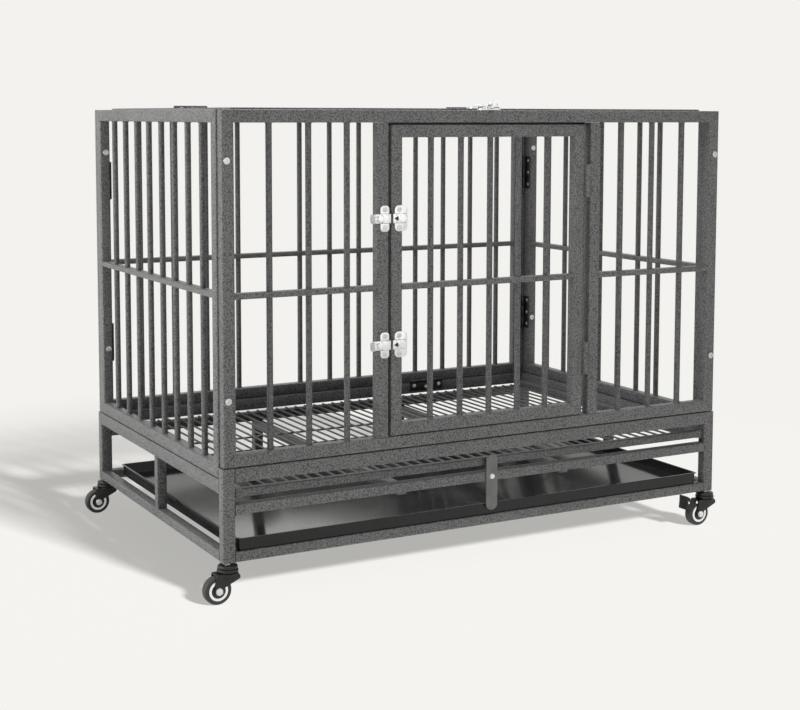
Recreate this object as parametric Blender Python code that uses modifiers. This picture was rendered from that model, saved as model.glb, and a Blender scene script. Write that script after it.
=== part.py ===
"""Heavy dog cage on casters: welded tube base, four barred panels, hinged lid and front door.

Metres, +Z up. The cage's front faces -Y, its long side runs along X, the floor is Z = 0.
"""

import math

import bmesh
import bpy
from mathutils import Matrix, Vector

# Overall sizes
LENGTH = 1.067
DEPTH = 0.690
CASTER_HEIGHT = 0.070
BASE_HEIGHT = 0.163
PANEL_HEIGHT = 0.606

# Square tube, bars and welds
FACE = 0.0225
TUBE = 0.020
CORNER = 0.002
BAR_RADIUS = 0.0055
BAR_SIDES = 8
CROSSBAR_HEIGHT = 0.010
CROSSBAR_DROP = 0.314
WELD_IN = 0.005
STEP = 0.0002
GAP = 0.0003

# Base rails, heights above the base's underside
RAIL_HEIGHT = 0.025
LOW_RAIL_HEIGHT = 0.018
SIDE_PANEL_DROP = 0.021
MID_RAIL_UNDERSIDE = 0.082
REAR_LEDGE_UNDERSIDE = 0.091
REAR_LEDGE_HEIGHT = 0.0185
CROSS_TUBE_UNDERSIDE = 0.073
MID_POST_WIDTH = 0.016
MID_POST_Y = -0.007
CROSS_TUBE_X = 0.178

# Panels
PANEL_INSET = 0.0025
FRONT_BAY_PITCH = 0.0738
LEFT_BAY_CENTRE = -0.3677
RIGHT_BAY_CENTRE = 0.3711
BAY_BARS = 3
BACK_BARS = 13
BACK_PITCH = 0.0734
SIDE_BARS = 8
SIDE_PITCH = 0.068

# Front door
LATCH_POST_X = -0.2274
HINGE_POST_X = 0.2306
LATCH_GAP = 0.005
HINGE_GAP = 0.014
DOOR_TOP_GAP = 0.0036
DOOR_BOTTOM_GAP = 0.0025
DOOR_BARS = 5
DOOR_PITCH = 0.0627
DOOR_HINGE_DROPS = (0.132, 0.472)
BARREL_RADIUS = 0.0058
BARREL_HALF = 0.031
FOOT_INSET = 0.0005
FOOT_THICK = 0.0045
PIN_RADIUS = 0.0025
PIN_RISE = 0.016
BARREL_SIDES = 14
PIN_SIDES = 8

# Lid
LID_PROUD = 0.003
LID_SIDE_GAP = 0.0105
LID_END_GAP = 0.007
LID_HINGE_X = 0.331

# Butt hinges of the lid and of the rear corners
BUTT_RADIUS = 0.0038
BUTT_PIN = 0.0016
BUTT_PLATE = 0.0015
BUTT_CLEAR = 0.0004
KNUCKLE_SIDES = 8
BUTT_PIN_SIDES = 6
LID_HINGE_LENGTH = 0.073
LID_LEAF = 0.0205
LID_AXIS_RISE = 0.0058
CORNER_HINGE_LENGTH = 0.076
CORNER_LEAF = 0.0195
CORNER_HINGE_DROPS = (0.144, 0.478)
CORNER_AXIS_INSET = 0.0045

# Slide bolt latches
LATCH_DROPS = (0.191, 0.416)
LID_LATCH_X = -0.003
LATCH_HEIGHT = 0.046
LATCH_PLATE = 0.0018
GUIDE_WIDTH = 0.0175
KEEPER_WIDTH = 0.0256
KEEPER_SETBACK = 0.006
BRIDGE_HEIGHT = 0.021
BRIDGE_WALL = 0.003
BOLT_WIDTH = 0.014
BOLT_LENGTH = 0.040
BOLT_THICK = 0.0026
BOLT_TIP_GAP = 0.0019
BOLT_TRAVEL = 0.013
BOLT_PLAY = 0.0004
TAB_HEIGHT = 0.018
TAB_HOLE = 0.003
KNOB_RADIUS = 0.0045
KNOB_DOME = 0.7
KNOB_CROWN = 0.6
PLATE_CORNER = 0.005
KNOB_STEM = 0.002
KNOB_SETBACK = 0.0165
PADLOCK_HOLE = 0.0026

# Grate and tray
GRATE_TUBE = 0.015
GRATE_SETBACK = 0.006
GRATE_SIDE_GAP = 0.0025
GRATE_REAR_BAR = 0.003
GRATE_LEDGE_RISE = 0.110
LEDGE_THICK = 0.003
LEDGE_WIDTH = 0.020
LEDGE_HEIGHT = 0.030
WIRE_RADIUS = 0.002
WIRE_SIDES = 4
WIRE_PITCH = 0.0228
CROSS_WIRE = 0.003
CROSS_WIRE_Y = 0.090
TRAY_WIDTH = 1.002
TRAY_DEPTH = 0.624
TRAY_HEIGHT = 0.022
TRAY_SHIFT_X = -0.006
TRAY_SETBACK = 0.001
TRAY_CORNER = 0.020
TRAY_RIM = 0.006
SHEET = 0.0015

# Turn plate that holds the tray and the grate in
TURN_PLATE_X = 0.001
TURN_PLATE_WIDTH = 0.024
TURN_PLATE_UP = 0.0413
TURN_PLATE_DOWN = 0.0635
TURN_PLATE_THICK = 0.003
SCREW_RADIUS = 0.003
SCREW_HEAD_RADIUS = 0.006
SCREW_HEAD_HEIGHT = 0.003
SCREW_DEPTH = 0.012

# Casters
WHEEL_RADIUS = 0.0245
WHEEL_WIDTH = 0.018
WHEEL_STEPS = 20
WHEEL_SIDE_GAP = 0.001
TREAD_DEPTH = 0.0065
TREAD_ROUND = 0.003
WHEEL_DISH = 0.0025
HUB_RADIUS = 0.008
TRAIL = 0.020
AXLE_RADIUS = 0.003
AXLE_SIDES = 10
AXLE_NUT_RADIUS = 0.0070
AXLE_NUT_HEIGHT = 0.003
CAP_RADIUS = 0.0165
CAP_THICK = 0.007
CAP_CLEARANCE = 0.0015
CAP_CROWN = ((0.72, 0.0), (0.92, 0.0015), (1.0, 0.0035))
RIVET_HEAD = 0.002
LEG_FRONT = 0.62
LEG_BACK_DROP = 0.004
BRAKED_BACK_DROP = 0.006
BRIDGE_SPAN = (0.95, 0.4)
BRIDGE_THICK = 0.0025
LEG_THICK = 0.0025
LEG_BOSS_RADIUS = 0.0075
COLLAR_RADIUS = 0.0095
PIVOT_RADIUS = 0.0045
STUD_LENGTH = 0.017
STEM_STEPS = 10
CAP_STEPS = 14
PEDAL_PIVOT_BACK = 0.0135
PEDAL_PIVOT_RISE = 0.0255
PEDAL_EAR_RADIUS = 0.0042
PEDAL_HUB_RADIUS = 0.003
PEDAL_PIN_RADIUS = 0.0016
PEDAL_REACH = 0.025
PEDAL_THICK = 0.0028
PEDAL_FLARE = 0.002
PEDAL_NECK = 0.008
PEDAL_OVERLAP = 0.002
BRAKE_FINGER_BACK = 0.0105
BRAKE_FINGER_DROP = 0.013
BRAKE_FINGER_THICK = 0.0025

# Where the pieces meet
HALF_X = LENGTH / 2
HALF_Y = DEPTH / 2
BASE_LOW = CASTER_HEIGHT
BASE_TOP = BASE_LOW + BASE_HEIGHT
CAGE_TOP = BASE_TOP + PANEL_HEIGHT
SIDE_LOW = BASE_TOP - SIDE_PANEL_DROP
PANEL_HALF_X = HALF_X - PANEL_INSET
BUTT_SEAT = BUTT_RADIUS + BUTT_CLEAR
INNER_X = HALF_X - TUBE
INNER_Y = HALF_Y - TUBE
CROSSBAR_Z = CAGE_TOP - CROSSBAR_DROP
DOOR_LEFT = LATCH_POST_X + FACE / 2 + LATCH_GAP
DOOR_RIGHT = HINGE_POST_X - FACE / 2 - HINGE_GAP
DOOR_HINGE_X = DOOR_RIGHT + HINGE_GAP / 2
LID_TOP = CAGE_TOP + LID_PROUD
LID_HALF_X = INNER_X - LID_SIDE_GAP
LID_HALF_Y = INNER_Y - LID_END_GAP
LID_AXIS = (INNER_Y - LID_END_GAP / 2, CAGE_TOP + LID_AXIS_RISE)
LEDGE_TOP = BASE_LOW + GRATE_LEDGE_RISE
STEM_X = HALF_X - FACE / 2
STEM_Y = HALF_Y - TUBE / 2
CAP_LOW = 2 * WHEEL_RADIUS + CAP_CLEARANCE
CAP_TOP = CAP_LOW + CAP_THICK
LEG_INNER = WHEEL_WIDTH / 2 + WHEEL_SIDE_GAP

HAMMERTONE = ((0.105, 0.105, 0.108), 0.42, 0.55)
BLACK_STEEL = ((0.018, 0.018, 0.019), 0.45, 0.40)
ZINC = ((0.72, 0.73, 0.74), 0.28, 1.0)
PLATE_GREY = ((0.20, 0.20, 0.21), 0.40, 0.60)
TRAY_BLACK = ((0.014, 0.014, 0.016), 0.18, 0.0)
TREAD = ((0.035, 0.035, 0.036), 0.60, 0.0)


def clear_scene():
    for thing in list(bpy.data.objects):
        bpy.data.objects.remove(thing, do_unlink=True)


def new_collection(name):
    made = bpy.data.collections.new(name)
    bpy.context.scene.collection.children.link(made)
    return made


def new_material(name, look):
    colour, roughness, metallic = look
    material = bpy.data.materials.new(name)
    material.use_nodes = True
    shader = material.node_tree.nodes["Principled BSDF"]
    shader.inputs["Base Color"].default_value = (*colour, 1.0)
    shader.inputs["Roughness"].default_value = roughness
    shader.inputs["Metallic"].default_value = metallic
    return material


def shape():
    return bmesh.new()


def block(bm, low, high, along="", radius=CORNER, segments=1):
    """A box between two corners; its four edges parallel to the axis `along` are rounded."""
    low, high = Vector(low), Vector(high)
    for axis in range(3):
        if low[axis] > high[axis]:
            low[axis], high[axis] = high[axis], low[axis]
    verts = bmesh.ops.create_cube(bm, size=1.0)["verts"]
    bmesh.ops.scale(bm, vec=high - low, verts=verts)
    bmesh.ops.translate(bm, vec=(low + high) / 2, verts=verts)
    if along:
        axis = "xyz".index(along)
        edges = {edge for vert in verts for edge in vert.link_edges}
        long_edges = [e for e in edges if abs((e.verts[0].co - e.verts[1].co)[axis]) > 1e-6]
        bmesh.ops.bevel(bm, geom=long_edges, offset=radius, segments=segments,
                        affect="EDGES", profile=0.5)
    return bm


def rod(bm, start, end, radius, sides=BAR_SIDES, tip_radius=None):
    """A round bar from start to end; tip_radius tapers it."""
    start, end = Vector(start), Vector(end)
    run = end - start
    turn = run.to_track_quat("Z", "Y").to_matrix().to_4x4()
    bmesh.ops.create_cone(bm, cap_ends=True, segments=sides, radius1=radius,
                          radius2=radius if tip_radius is None else tip_radius,
                          depth=run.length,
                          matrix=Matrix.Translation((start + end) / 2) @ turn)
    return bm


def arc(centre, radius, first, last, steps):
    """Points on a circle from the angle `first` to `last`, in degrees."""
    turns = [math.radians(first + (last - first) * i / steps) for i in range(steps + 1)]
    return [(centre[0] + radius * math.cos(t), centre[1] + radius * math.sin(t)) for t in turns]


def outline_xz(bm, points, y_low, y_high):
    """A flat outline in X and Z, made thick between two Y planes."""
    curve = bpy.data.curves.new("outline", "CURVE")
    curve.dimensions = "2D"
    curve.fill_mode = "BOTH"
    curve.extrude = (y_high - y_low) / 2
    spline = curve.splines.new("POLY")
    spline.points.add(len(points) - 1)
    for point, (x, z) in zip(spline.points, points):
        point.co = (x, z, 0.0, 1.0)
    spline.use_cyclic_u = True
    flat = bpy.data.objects.new("outline", curve)
    bpy.context.scene.collection.objects.link(flat)
    solid = bpy.data.meshes.new_from_object(flat.evaluated_get(bpy.context.evaluated_depsgraph_get()))
    solid.transform(Matrix.Translation((0, (y_low + y_high) / 2, 0)) @ Matrix.Rotation(math.pi / 2, 4, "X"))
    bpy.data.objects.remove(flat, do_unlink=True)
    piece = bmesh.new()
    piece.from_mesh(solid)
    bmesh.ops.remove_doubles(piece, verts=piece.verts, dist=1e-6)
    bmesh.ops.recalc_face_normals(piece, faces=piece.faces)
    piece.to_mesh(solid)
    piece.free()
    bm.from_mesh(solid)
    bpy.data.meshes.remove(solid)
    return bm


def mesh_object(name, bm, pivot, home, cage):
    bmesh.ops.translate(bm, vec=-Vector(pivot), verts=bm.verts)
    mesh = bpy.data.meshes.new(name)
    bm.to_mesh(mesh)
    bm.free()
    thing = bpy.data.objects.new(name, mesh)
    thing.location = pivot
    thing.parent = cage
    home.objects.link(thing)
    return thing


def join(thing, tool, operation):
    modifier = thing.modifiers.new(operation.lower(), "BOOLEAN")
    modifier.operation = operation
    modifier.object = tool


class Workshop:
    """Holds the cage's parent empty and the two collections, and makes the pieces."""

    def __init__(self, shift):
        self.pieces = new_collection("dog_cage")
        self.tools = new_collection("cutters")
        self.cage = bpy.data.objects.new("cage", None)
        self.cage.location = shift
        self.pieces.objects.link(self.cage)

    def tool(self, name, bm, pivot):
        guide = mesh_object(name, bm, pivot, self.tools, self.cage)
        guide.hide_render = True
        guide.display_type = "WIRE"
        return guide

    def piece(self, name, layers, look, pivot=(0, 0, 0), cuts=None):
        """One closed body: each later layer is united with the first, then the cuts are taken out."""
        thing = mesh_object(name, layers[0], pivot, self.pieces, self.cage)
        return self.finish(thing, layers[1:], look, cuts)

    def turned(self, name, profile, look, pivot, steps, layers=(), cuts=None, along_y=False):
        """A turned piece about its own Z axis, or about Y when along_y is set."""
        bm = shape()
        verts = [bm.verts.new((radius, 0, height)) for radius, height in profile]
        for first, second in zip(verts, verts[1:]):
            bm.edges.new((first, second))
        if profile[0][0] > 0:
            bm.edges.new((verts[-1], verts[0]))
        thing = mesh_object(name, bm, (0, 0, 0), self.pieces, self.cage)
        thing.location = pivot
        if along_y:
            thing.rotation_euler = (-math.pi / 2, 0, 0)
        screw = thing.modifiers.new("turn", "SCREW")
        screw.steps = steps
        screw.render_steps = steps
        screw.use_merge_vertices = True
        screw.merge_threshold = 0.00001
        return self.finish(thing, layers, look, cuts)

    def finish(self, thing, layers, look, cuts):
        for count, layer in enumerate(layers):
            join(thing, self.tool(f"{thing.name}_layer_{count + 1}", layer, thing.location), "UNION")
        if cuts:
            join(thing, self.tool(f"{thing.name}_cut", cuts, thing.location), "DIFFERENCE")
        thing.data.materials.append(new_material(thing.name, look))
        thing.data.shade_smooth()
        thing.data.set_sharp_from_angle(angle=math.radians(35))
        return thing


def centred(count, pitch, centre=0.0):
    return [centre + pitch * (i - (count - 1) / 2) for i in range(count)]


PLANES = {"front": (0, 2, 1), "side": (1, 2, 0), "top": (0, 1, 2)}


def barred_frame(plane, across, up, depth, bars, crossbar, posts=()):
    """Stiles, rails, posts and bars, then crossbars, each layer welded into the one before.

    across, up and depth are the frame's extents in its own plane; depth starts at its outer
    face. bars and posts are places along `across`, crossbar is a place along `up`.
    """
    axes = PLANES[plane]
    rise = "xyz"[axes[1]]
    level = "xyz"[axes[0]]
    outward = 1 if depth[1] > depth[0] else -1

    def corner(a, u, inset):
        point = [0.0, 0.0, 0.0]
        for axis, value in zip(axes, (a, u, inset)):
            point[axis] = value
        return point

    def beam(bm, a0, a1, u0, u1, steps, along, thick=TUBE):
        near = depth[0] + outward * steps * STEP
        far = near + outward * (thick - 2 * steps * STEP)
        return block(bm, corner(a0, u0, near), corner(a1, u1, far), along)

    left, right = across
    low, high = up
    stiles = shape()
    beam(stiles, left, left + FACE, low, high, 0, rise)
    beam(stiles, right - FACE, right, low, high, 0, rise)

    rails = shape()
    inner = (left + FACE - WELD_IN, right - FACE + WELD_IN)
    beam(rails, *inner, low + STEP, low + FACE, 1, level)
    beam(rails, *inner, high - FACE, high - STEP, 1, level)

    uprights = shape()
    foot, head = low + FACE - WELD_IN, high - FACE + WELD_IN
    for place in posts:
        beam(uprights, place - FACE / 2, place + FACE / 2, foot, head, 2, rise)
    middle = (depth[0] + depth[1]) / 2
    for place in bars:
        rod(uprights, corner(place, foot, middle), corner(place, head, middle), BAR_RADIUS)

    cross = shape()
    edges = [left + FACE - WELD_IN]
    for place in posts:
        edges += [place - FACE / 2 + WELD_IN, place + FACE / 2 - WELD_IN]
    edges.append(right - FACE + WELD_IN)
    bays = list(zip(edges[::2], edges[1::2]))
    if len(bays) == 3:
        bays = [bays[0], bays[2]]
    for start, end in bays:
        beam(cross, start, end, crossbar - CROSSBAR_HEIGHT / 2, crossbar + CROSSBAR_HEIGHT / 2,
             3, level)
    return [stiles, rails, uprights, cross]


def base_frames(shop):
    for side, name in ((-1, "base_left_frame"), (1, "base_right_frame")):
        outer = side * HALF_X
        posts = shape()
        sockets = shape()
        for end, head in ((-1, BASE_TOP - GAP), (1, SIDE_LOW)):
            block(posts, (outer, end * HALF_Y, BASE_LOW), (outer - side * FACE, end * INNER_Y, head), "z")
            rod(sockets, (side * STEM_X, end * STEM_Y, BASE_LOW - GAP),
                (side * STEM_X, end * STEM_Y, BASE_LOW + STUD_LENGTH + 2 * GAP),
                PIVOT_RADIUS + GAP, STEM_STEPS)
        reach = INNER_Y + WELD_IN
        rails = shape()
        for low, high in ((BASE_LOW + STEP, BASE_LOW + LOW_RAIL_HEIGHT),
                          (SIDE_LOW - RAIL_HEIGHT, SIDE_LOW)):
            block(rails, (outer - side * STEP, -reach, low), (side * INNER_X, reach, high), "y")
        middle = shape()
        block(middle, (outer - 2 * side * STEP, MID_POST_Y - MID_POST_WIDTH / 2,
                       BASE_LOW + LOW_RAIL_HEIGHT - WELD_IN),
              (side * (INNER_X + 2 * STEP), MID_POST_Y + MID_POST_WIDTH / 2,
               SIDE_LOW - RAIL_HEIGHT + WELD_IN), "z")
        upstand = shape()
        ledge_end = INNER_Y - GAP
        block(upstand, (side * (INNER_X + STEP), -ledge_end, LEDGE_TOP - LEDGE_THICK),
              (side * (INNER_X - LEDGE_THICK), ledge_end, LEDGE_TOP - LEDGE_THICK + LEDGE_HEIGHT))
        shelf = shape()
        block(shelf, (side * (INNER_X - LEDGE_THICK + STEP), -ledge_end + STEP,
                      LEDGE_TOP - LEDGE_THICK + STEP),
              (side * (INNER_X - LEDGE_WIDTH), ledge_end - STEP, LEDGE_TOP))
        shop.piece(name, [posts, rails, middle, upstand, shelf], HAMMERTONE, cuts=sockets)


def rail_between_posts(bm, end, low, high):
    """A tube between the corner posts at the front (end -1) or the back (end 1)."""
    half = HALF_X - FACE - GAP
    return block(bm, (-half, end * HALF_Y, low), (half, end * INNER_Y, high), "x")


def base_rails(shop):
    for end, name, top in ((-1, "base_front_top_rail", BASE_TOP - GAP), (1, "base_back_top_rail", SIDE_LOW)):
        rail = rail_between_posts(shape(), end, top - RAIL_HEIGHT, top)
        shop.piece(name, [rail], HAMMERTONE)


def floor_frame(shop):
    """The lowest rails, with the two runners that the tray slides on."""
    rails = shape()
    for end in (-1, 1):
        rail_between_posts(rails, end, BASE_LOW, BASE_LOW + LOW_RAIL_HEIGHT)
    runners = shape()
    for side in (-1, 1):
        block(runners, (side * CROSS_TUBE_X - TUBE / 2, -INNER_Y - WELD_IN, BASE_LOW + STEP),
              (side * CROSS_TUBE_X + TUBE / 2, INNER_Y + WELD_IN, BASE_LOW + LOW_RAIL_HEIGHT - STEP), "y")
    shop.piece("base_floor_frame", [rails, runners], HAMMERTONE)


def grate_frame(shop):
    """Front mid rail, rear ledge rail, two tubes between them and the two posts behind the tray."""
    mid_low = BASE_LOW + MID_RAIL_UNDERSIDE
    mid_high = mid_low + LOW_RAIL_HEIGHT
    ledge_low = BASE_LOW + REAR_LEDGE_UNDERSIDE
    tube_low = BASE_LOW + CROSS_TUBE_UNDERSIDE
    rails = rail_between_posts(shape(), -1, mid_low, mid_high)
    rail_between_posts(rails, 1, ledge_low, ledge_low + REAR_LEDGE_HEIGHT)
    tubes = shape()
    posts = shape()
    for side in (-1, 1):
        near, far = side * CROSS_TUBE_X - TUBE / 2, side * CROSS_TUBE_X + TUBE / 2
        block(tubes, (near, -INNER_Y - WELD_IN, tube_low), (far, INNER_Y + WELD_IN, tube_low + LOW_RAIL_HEIGHT - STEP), "y")
        block(posts, (near + STEP, HALF_Y - STEP, BASE_LOW + LOW_RAIL_HEIGHT + GAP),
              (far - STEP, INNER_Y + STEP, ledge_low + WELD_IN), "z")
    pivot_z = (mid_low + mid_high) / 2
    hole = rod(shape(), (TURN_PLATE_X, -HALF_Y - GAP, pivot_z),
               (TURN_PLATE_X, -HALF_Y + SCREW_DEPTH, pivot_z), SCREW_RADIUS + GAP, 16)
    shop.piece("base_grate_frame", [rails, tubes, posts], HAMMERTONE, cuts=hole)


def panels(shop):
    bay_bars = (centred(BAY_BARS, FRONT_BAY_PITCH, LEFT_BAY_CENTRE)
                + centred(BAY_BARS, FRONT_BAY_PITCH, RIGHT_BAY_CENTRE))
    shop.piece("front_panel",
               barred_frame("front", (-PANEL_HALF_X, PANEL_HALF_X), (BASE_TOP, CAGE_TOP),
                            (-HALF_Y, -INNER_Y), bay_bars, CROSSBAR_Z,
                            (LATCH_POST_X, HINGE_POST_X)), HAMMERTONE)
    back = barred_frame("front", (-PANEL_HALF_X, PANEL_HALF_X), (SIDE_LOW + GAP, CAGE_TOP),
                        (HALF_Y, INNER_Y), centred(BACK_BARS, BACK_PITCH), CROSSBAR_Z)
    edge = PANEL_HALF_X - FACE + STEP
    block(back[2], (edge - FACE, HALF_Y - 2 * STEP, SIDE_LOW + FACE - WELD_IN),
          (edge, INNER_Y + 2 * STEP, CAGE_TOP - FACE + WELD_IN), "z")
    shop.piece("back_panel", back, HAMMERTONE)
    reach = INNER_Y - GAP
    for side, name in ((-1, "left_panel"), (1, "right_panel")):
        shop.piece(name,
                   barred_frame("side", (-reach, reach), (SIDE_LOW + GAP, CAGE_TOP),
                                (side * HALF_X, side * INNER_X),
                                centred(SIDE_BARS, SIDE_PITCH), CROSSBAR_Z), HAMMERTONE)


def front_door(shop):
    low = BASE_TOP + FACE + DOOR_BOTTOM_GAP
    high = CAGE_TOP - FACE - DOOR_TOP_GAP
    layers = barred_frame("front", (DOOR_LEFT, DOOR_RIGHT), (low, high), (-HALF_Y, -INNER_Y),
                          centred(DOOR_BARS, DOOR_PITCH), CROSSBAR_Z)
    shop.piece("front_door", layers, HAMMERTONE, (DOOR_HINGE_X, -HALF_Y, low))


def lid(shop):
    layers = barred_frame("top", (-LID_HALF_X, LID_HALF_X), (-LID_HALF_Y, LID_HALF_Y),
                          (LID_TOP, LID_TOP - TUBE), centred(BACK_BARS, BACK_PITCH), 0.0)
    shop.piece("lid", layers, HAMMERTONE, (0, *LID_AXIS))


def door_hinges(shop):
    """Weld-on barrels: the post half carries the pin, the door half has the blind bore."""
    foot_near = -HALF_Y + FOOT_INSET
    foot_far = foot_near + FOOT_THICK
    for place, drop in zip(("upper", "lower"), DOOR_HINGE_DROPS):
        split = CAGE_TOP - drop
        axis = (DOOR_HINGE_X, -HALF_Y)
        top = split + BARREL_HALF
        barrel = rod(shape(), (*axis, split + GAP / 2), (*axis, top), BARREL_RADIUS, BARREL_SIDES)
        foot = block(shape(), (DOOR_RIGHT + GAP, foot_near, split + 2 * STEP),
                     (DOOR_HINGE_X - PIN_RADIUS - 2 * GAP, foot_far, top - STEP))
        bore = rod(shape(), (*axis, split - GAP), (*axis, split + PIN_RISE + 2 * GAP),
                   PIN_RADIUS + GAP, PIN_SIDES)
        shop.piece(f"door_hinge_{place}_door_half", [barrel, foot], HAMMERTONE,
                   (*axis, split), bore)

        low = split - BARREL_HALF
        barrel = rod(shape(), (*axis, low), (*axis, split - GAP / 2), BARREL_RADIUS, BARREL_SIDES)
        foot = block(shape(), (HINGE_POST_X - FACE / 2 - GAP, foot_near, low + STEP),
                     (DOOR_HINGE_X + PIN_RADIUS, foot_far, split - 2 * STEP))
        pin = rod(shape(), (*axis, split - WELD_IN), (*axis, split + PIN_RISE), PIN_RADIUS, PIN_SIDES)
        shop.piece(f"door_hinge_{place}_post_half", [barrel, foot, pin], HAMMERTONE, (*axis, split))


def knuckle_pieces(start, end, count_from, axis_radius):
    """Rods for every second of three equal knuckles between two points, from the given one."""
    start, end = Vector(start), Vector(end)
    run = end - start
    bm = shape()
    play = GAP * run.normalized()
    for i in range(count_from, 3, 2):
        near = start + run * i / 3 + (play / 2 if i else Vector())
        far = start + run * (i + 1) / 3 - (play / 2 if i < 2 else Vector())
        rod(bm, near, far, axis_radius, KNUCKLE_SIDES)
    return bm


def lid_hinges(shop):
    axis_y, axis_z = LID_AXIS
    for side, name in ((-1, "left"), (1, "right")):
        first = side * LID_HINGE_X - LID_HINGE_LENGTH / 2
        third = LID_HINGE_LENGTH / 3
        start, end = (first, axis_y, axis_z), (first + LID_HINGE_LENGTH, axis_y, axis_z)

        plate = block(shape(), (first, axis_y + BUTT_SEAT, CAGE_TOP + GAP),
                      (first + LID_HINGE_LENGTH, axis_y + LID_LEAF, CAGE_TOP + GAP + BUTT_PLATE))
        webs = shape()
        for i in (0, 2):
            block(webs, (first + i * third + GAP + STEP, axis_y + BUTT_PIN + STEP, CAGE_TOP + GAP + STEP),
                  (first + (i + 1) * third - GAP - STEP, axis_y + BUTT_SEAT + WELD_IN / 2,
                   axis_z - 2 * STEP))
        rods = knuckle_pieces(start, end, 0, BUTT_RADIUS)
        pin = rod(shape(), (first + WELD_IN, axis_y, axis_z),
                  (first + LID_HINGE_LENGTH - WELD_IN, axis_y, axis_z), BUTT_PIN, BUTT_PIN_SIDES)
        shop.piece(f"lid_hinge_{name}_fixed_leaf", [plate, webs, rods, pin], BLACK_STEEL)

        plate = block(shape(), (first, axis_y - BUTT_SEAT, LID_TOP + GAP),
                      (first + LID_HINGE_LENGTH, axis_y - LID_LEAF, LID_TOP + GAP + BUTT_PLATE))
        tongue = block(shape(), (first + third + GAP + STEP, axis_y - BUTT_SEAT - WELD_IN / 2, LID_TOP + GAP + STEP),
                       (first + 2 * third - GAP - STEP, axis_y - BUTT_PIN - STEP,
                        LID_TOP + GAP + BUTT_PLATE - STEP))
        rods = knuckle_pieces(start, end, 1, BUTT_RADIUS)
        bore = rod(shape(), start, end, BUTT_PIN + GAP, BUTT_PIN_SIDES)
        shop.piece(f"lid_hinge_{name}_moving_leaf", [plate, tongue, rods], BLACK_STEEL,
                   (side * LID_HINGE_X, axis_y, axis_z), bore)


def corner_hinges(shop):
    """Butt hinges in the rear inner corners: one leaf on the side panel, one on the back panel."""
    axis_y = INNER_Y - CORNER_AXIS_INSET
    third = CORNER_HINGE_LENGTH / 3
    for side, name in ((-1, "left"), (1, "right")):
        axis_x = side * (INNER_X - CORNER_AXIS_INSET)
        for place, drop in zip(("upper", "lower"), CORNER_HINGE_DROPS):
            low = CAGE_TOP - drop - CORNER_HINGE_LENGTH / 2
            high = low + CORNER_HINGE_LENGTH
            start, end = (axis_x, axis_y, low), (axis_x, axis_y, high)
            face = side * (INNER_X - GAP)
            back = side * (INNER_X - GAP - BUTT_PLATE)

            plate = block(shape(), (face, axis_y - BUTT_SEAT, low), (back, axis_y - CORNER_LEAF + STEP, high))
            webs = shape()
            for i in (0, 2):
                block(webs, (face - side * STEP, axis_y - BUTT_SEAT - WELD_IN / 2, low + i * third + GAP + STEP),
                      (back + side * STEP, axis_y - STEP, low + (i + 1) * third - GAP - STEP))
            rods = knuckle_pieces(start, end, 0, BUTT_RADIUS)
            pin = rod(shape(), (axis_x, axis_y, low + WELD_IN), (axis_x, axis_y, high - WELD_IN),
                      BUTT_PIN, BUTT_PIN_SIDES)
            shop.piece(f"corner_hinge_{name}_{place}_side_leaf", [plate, webs, rods, pin], BLACK_STEEL)

            span = (low + third + GAP + STEP, low + 2 * third - GAP - STEP)
            if side > 0:
                wall, skin = INNER_Y - GAP, INNER_Y - GAP - BUTT_PLATE
                plate = block(shape(), (axis_x - BUTT_SEAT, wall, low), (axis_x - CORNER_LEAF, skin, high))
                tongue = block(shape(), (axis_x - BUTT_SEAT - WELD_IN / 2, wall - STEP, span[0]),
                               (axis_x - STEP, skin + STEP, span[1]))
            else:
                wall = -PANEL_HALF_X + FACE + GAP
                skin = wall + BUTT_PLATE
                plate = block(shape(), (wall, INNER_Y + GAP, low), (skin, HALF_Y - 2 * GAP, high))
                tongue = block(shape(), (wall + STEP, axis_y + BUTT_PIN, span[0]),
                               (skin - STEP, INNER_Y + GAP + WELD_IN / 2, span[1]))
            rods = knuckle_pieces(start, end, 1, BUTT_RADIUS)
            bore = rod(shape(), start, end, BUTT_PIN + GAP, BUTT_PIN_SIDES)
            shop.piece(f"corner_hinge_{name}_{place}_rear_leaf", [plate, tongue, rods], BLACK_STEEL,
                       cuts=bore)


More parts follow.
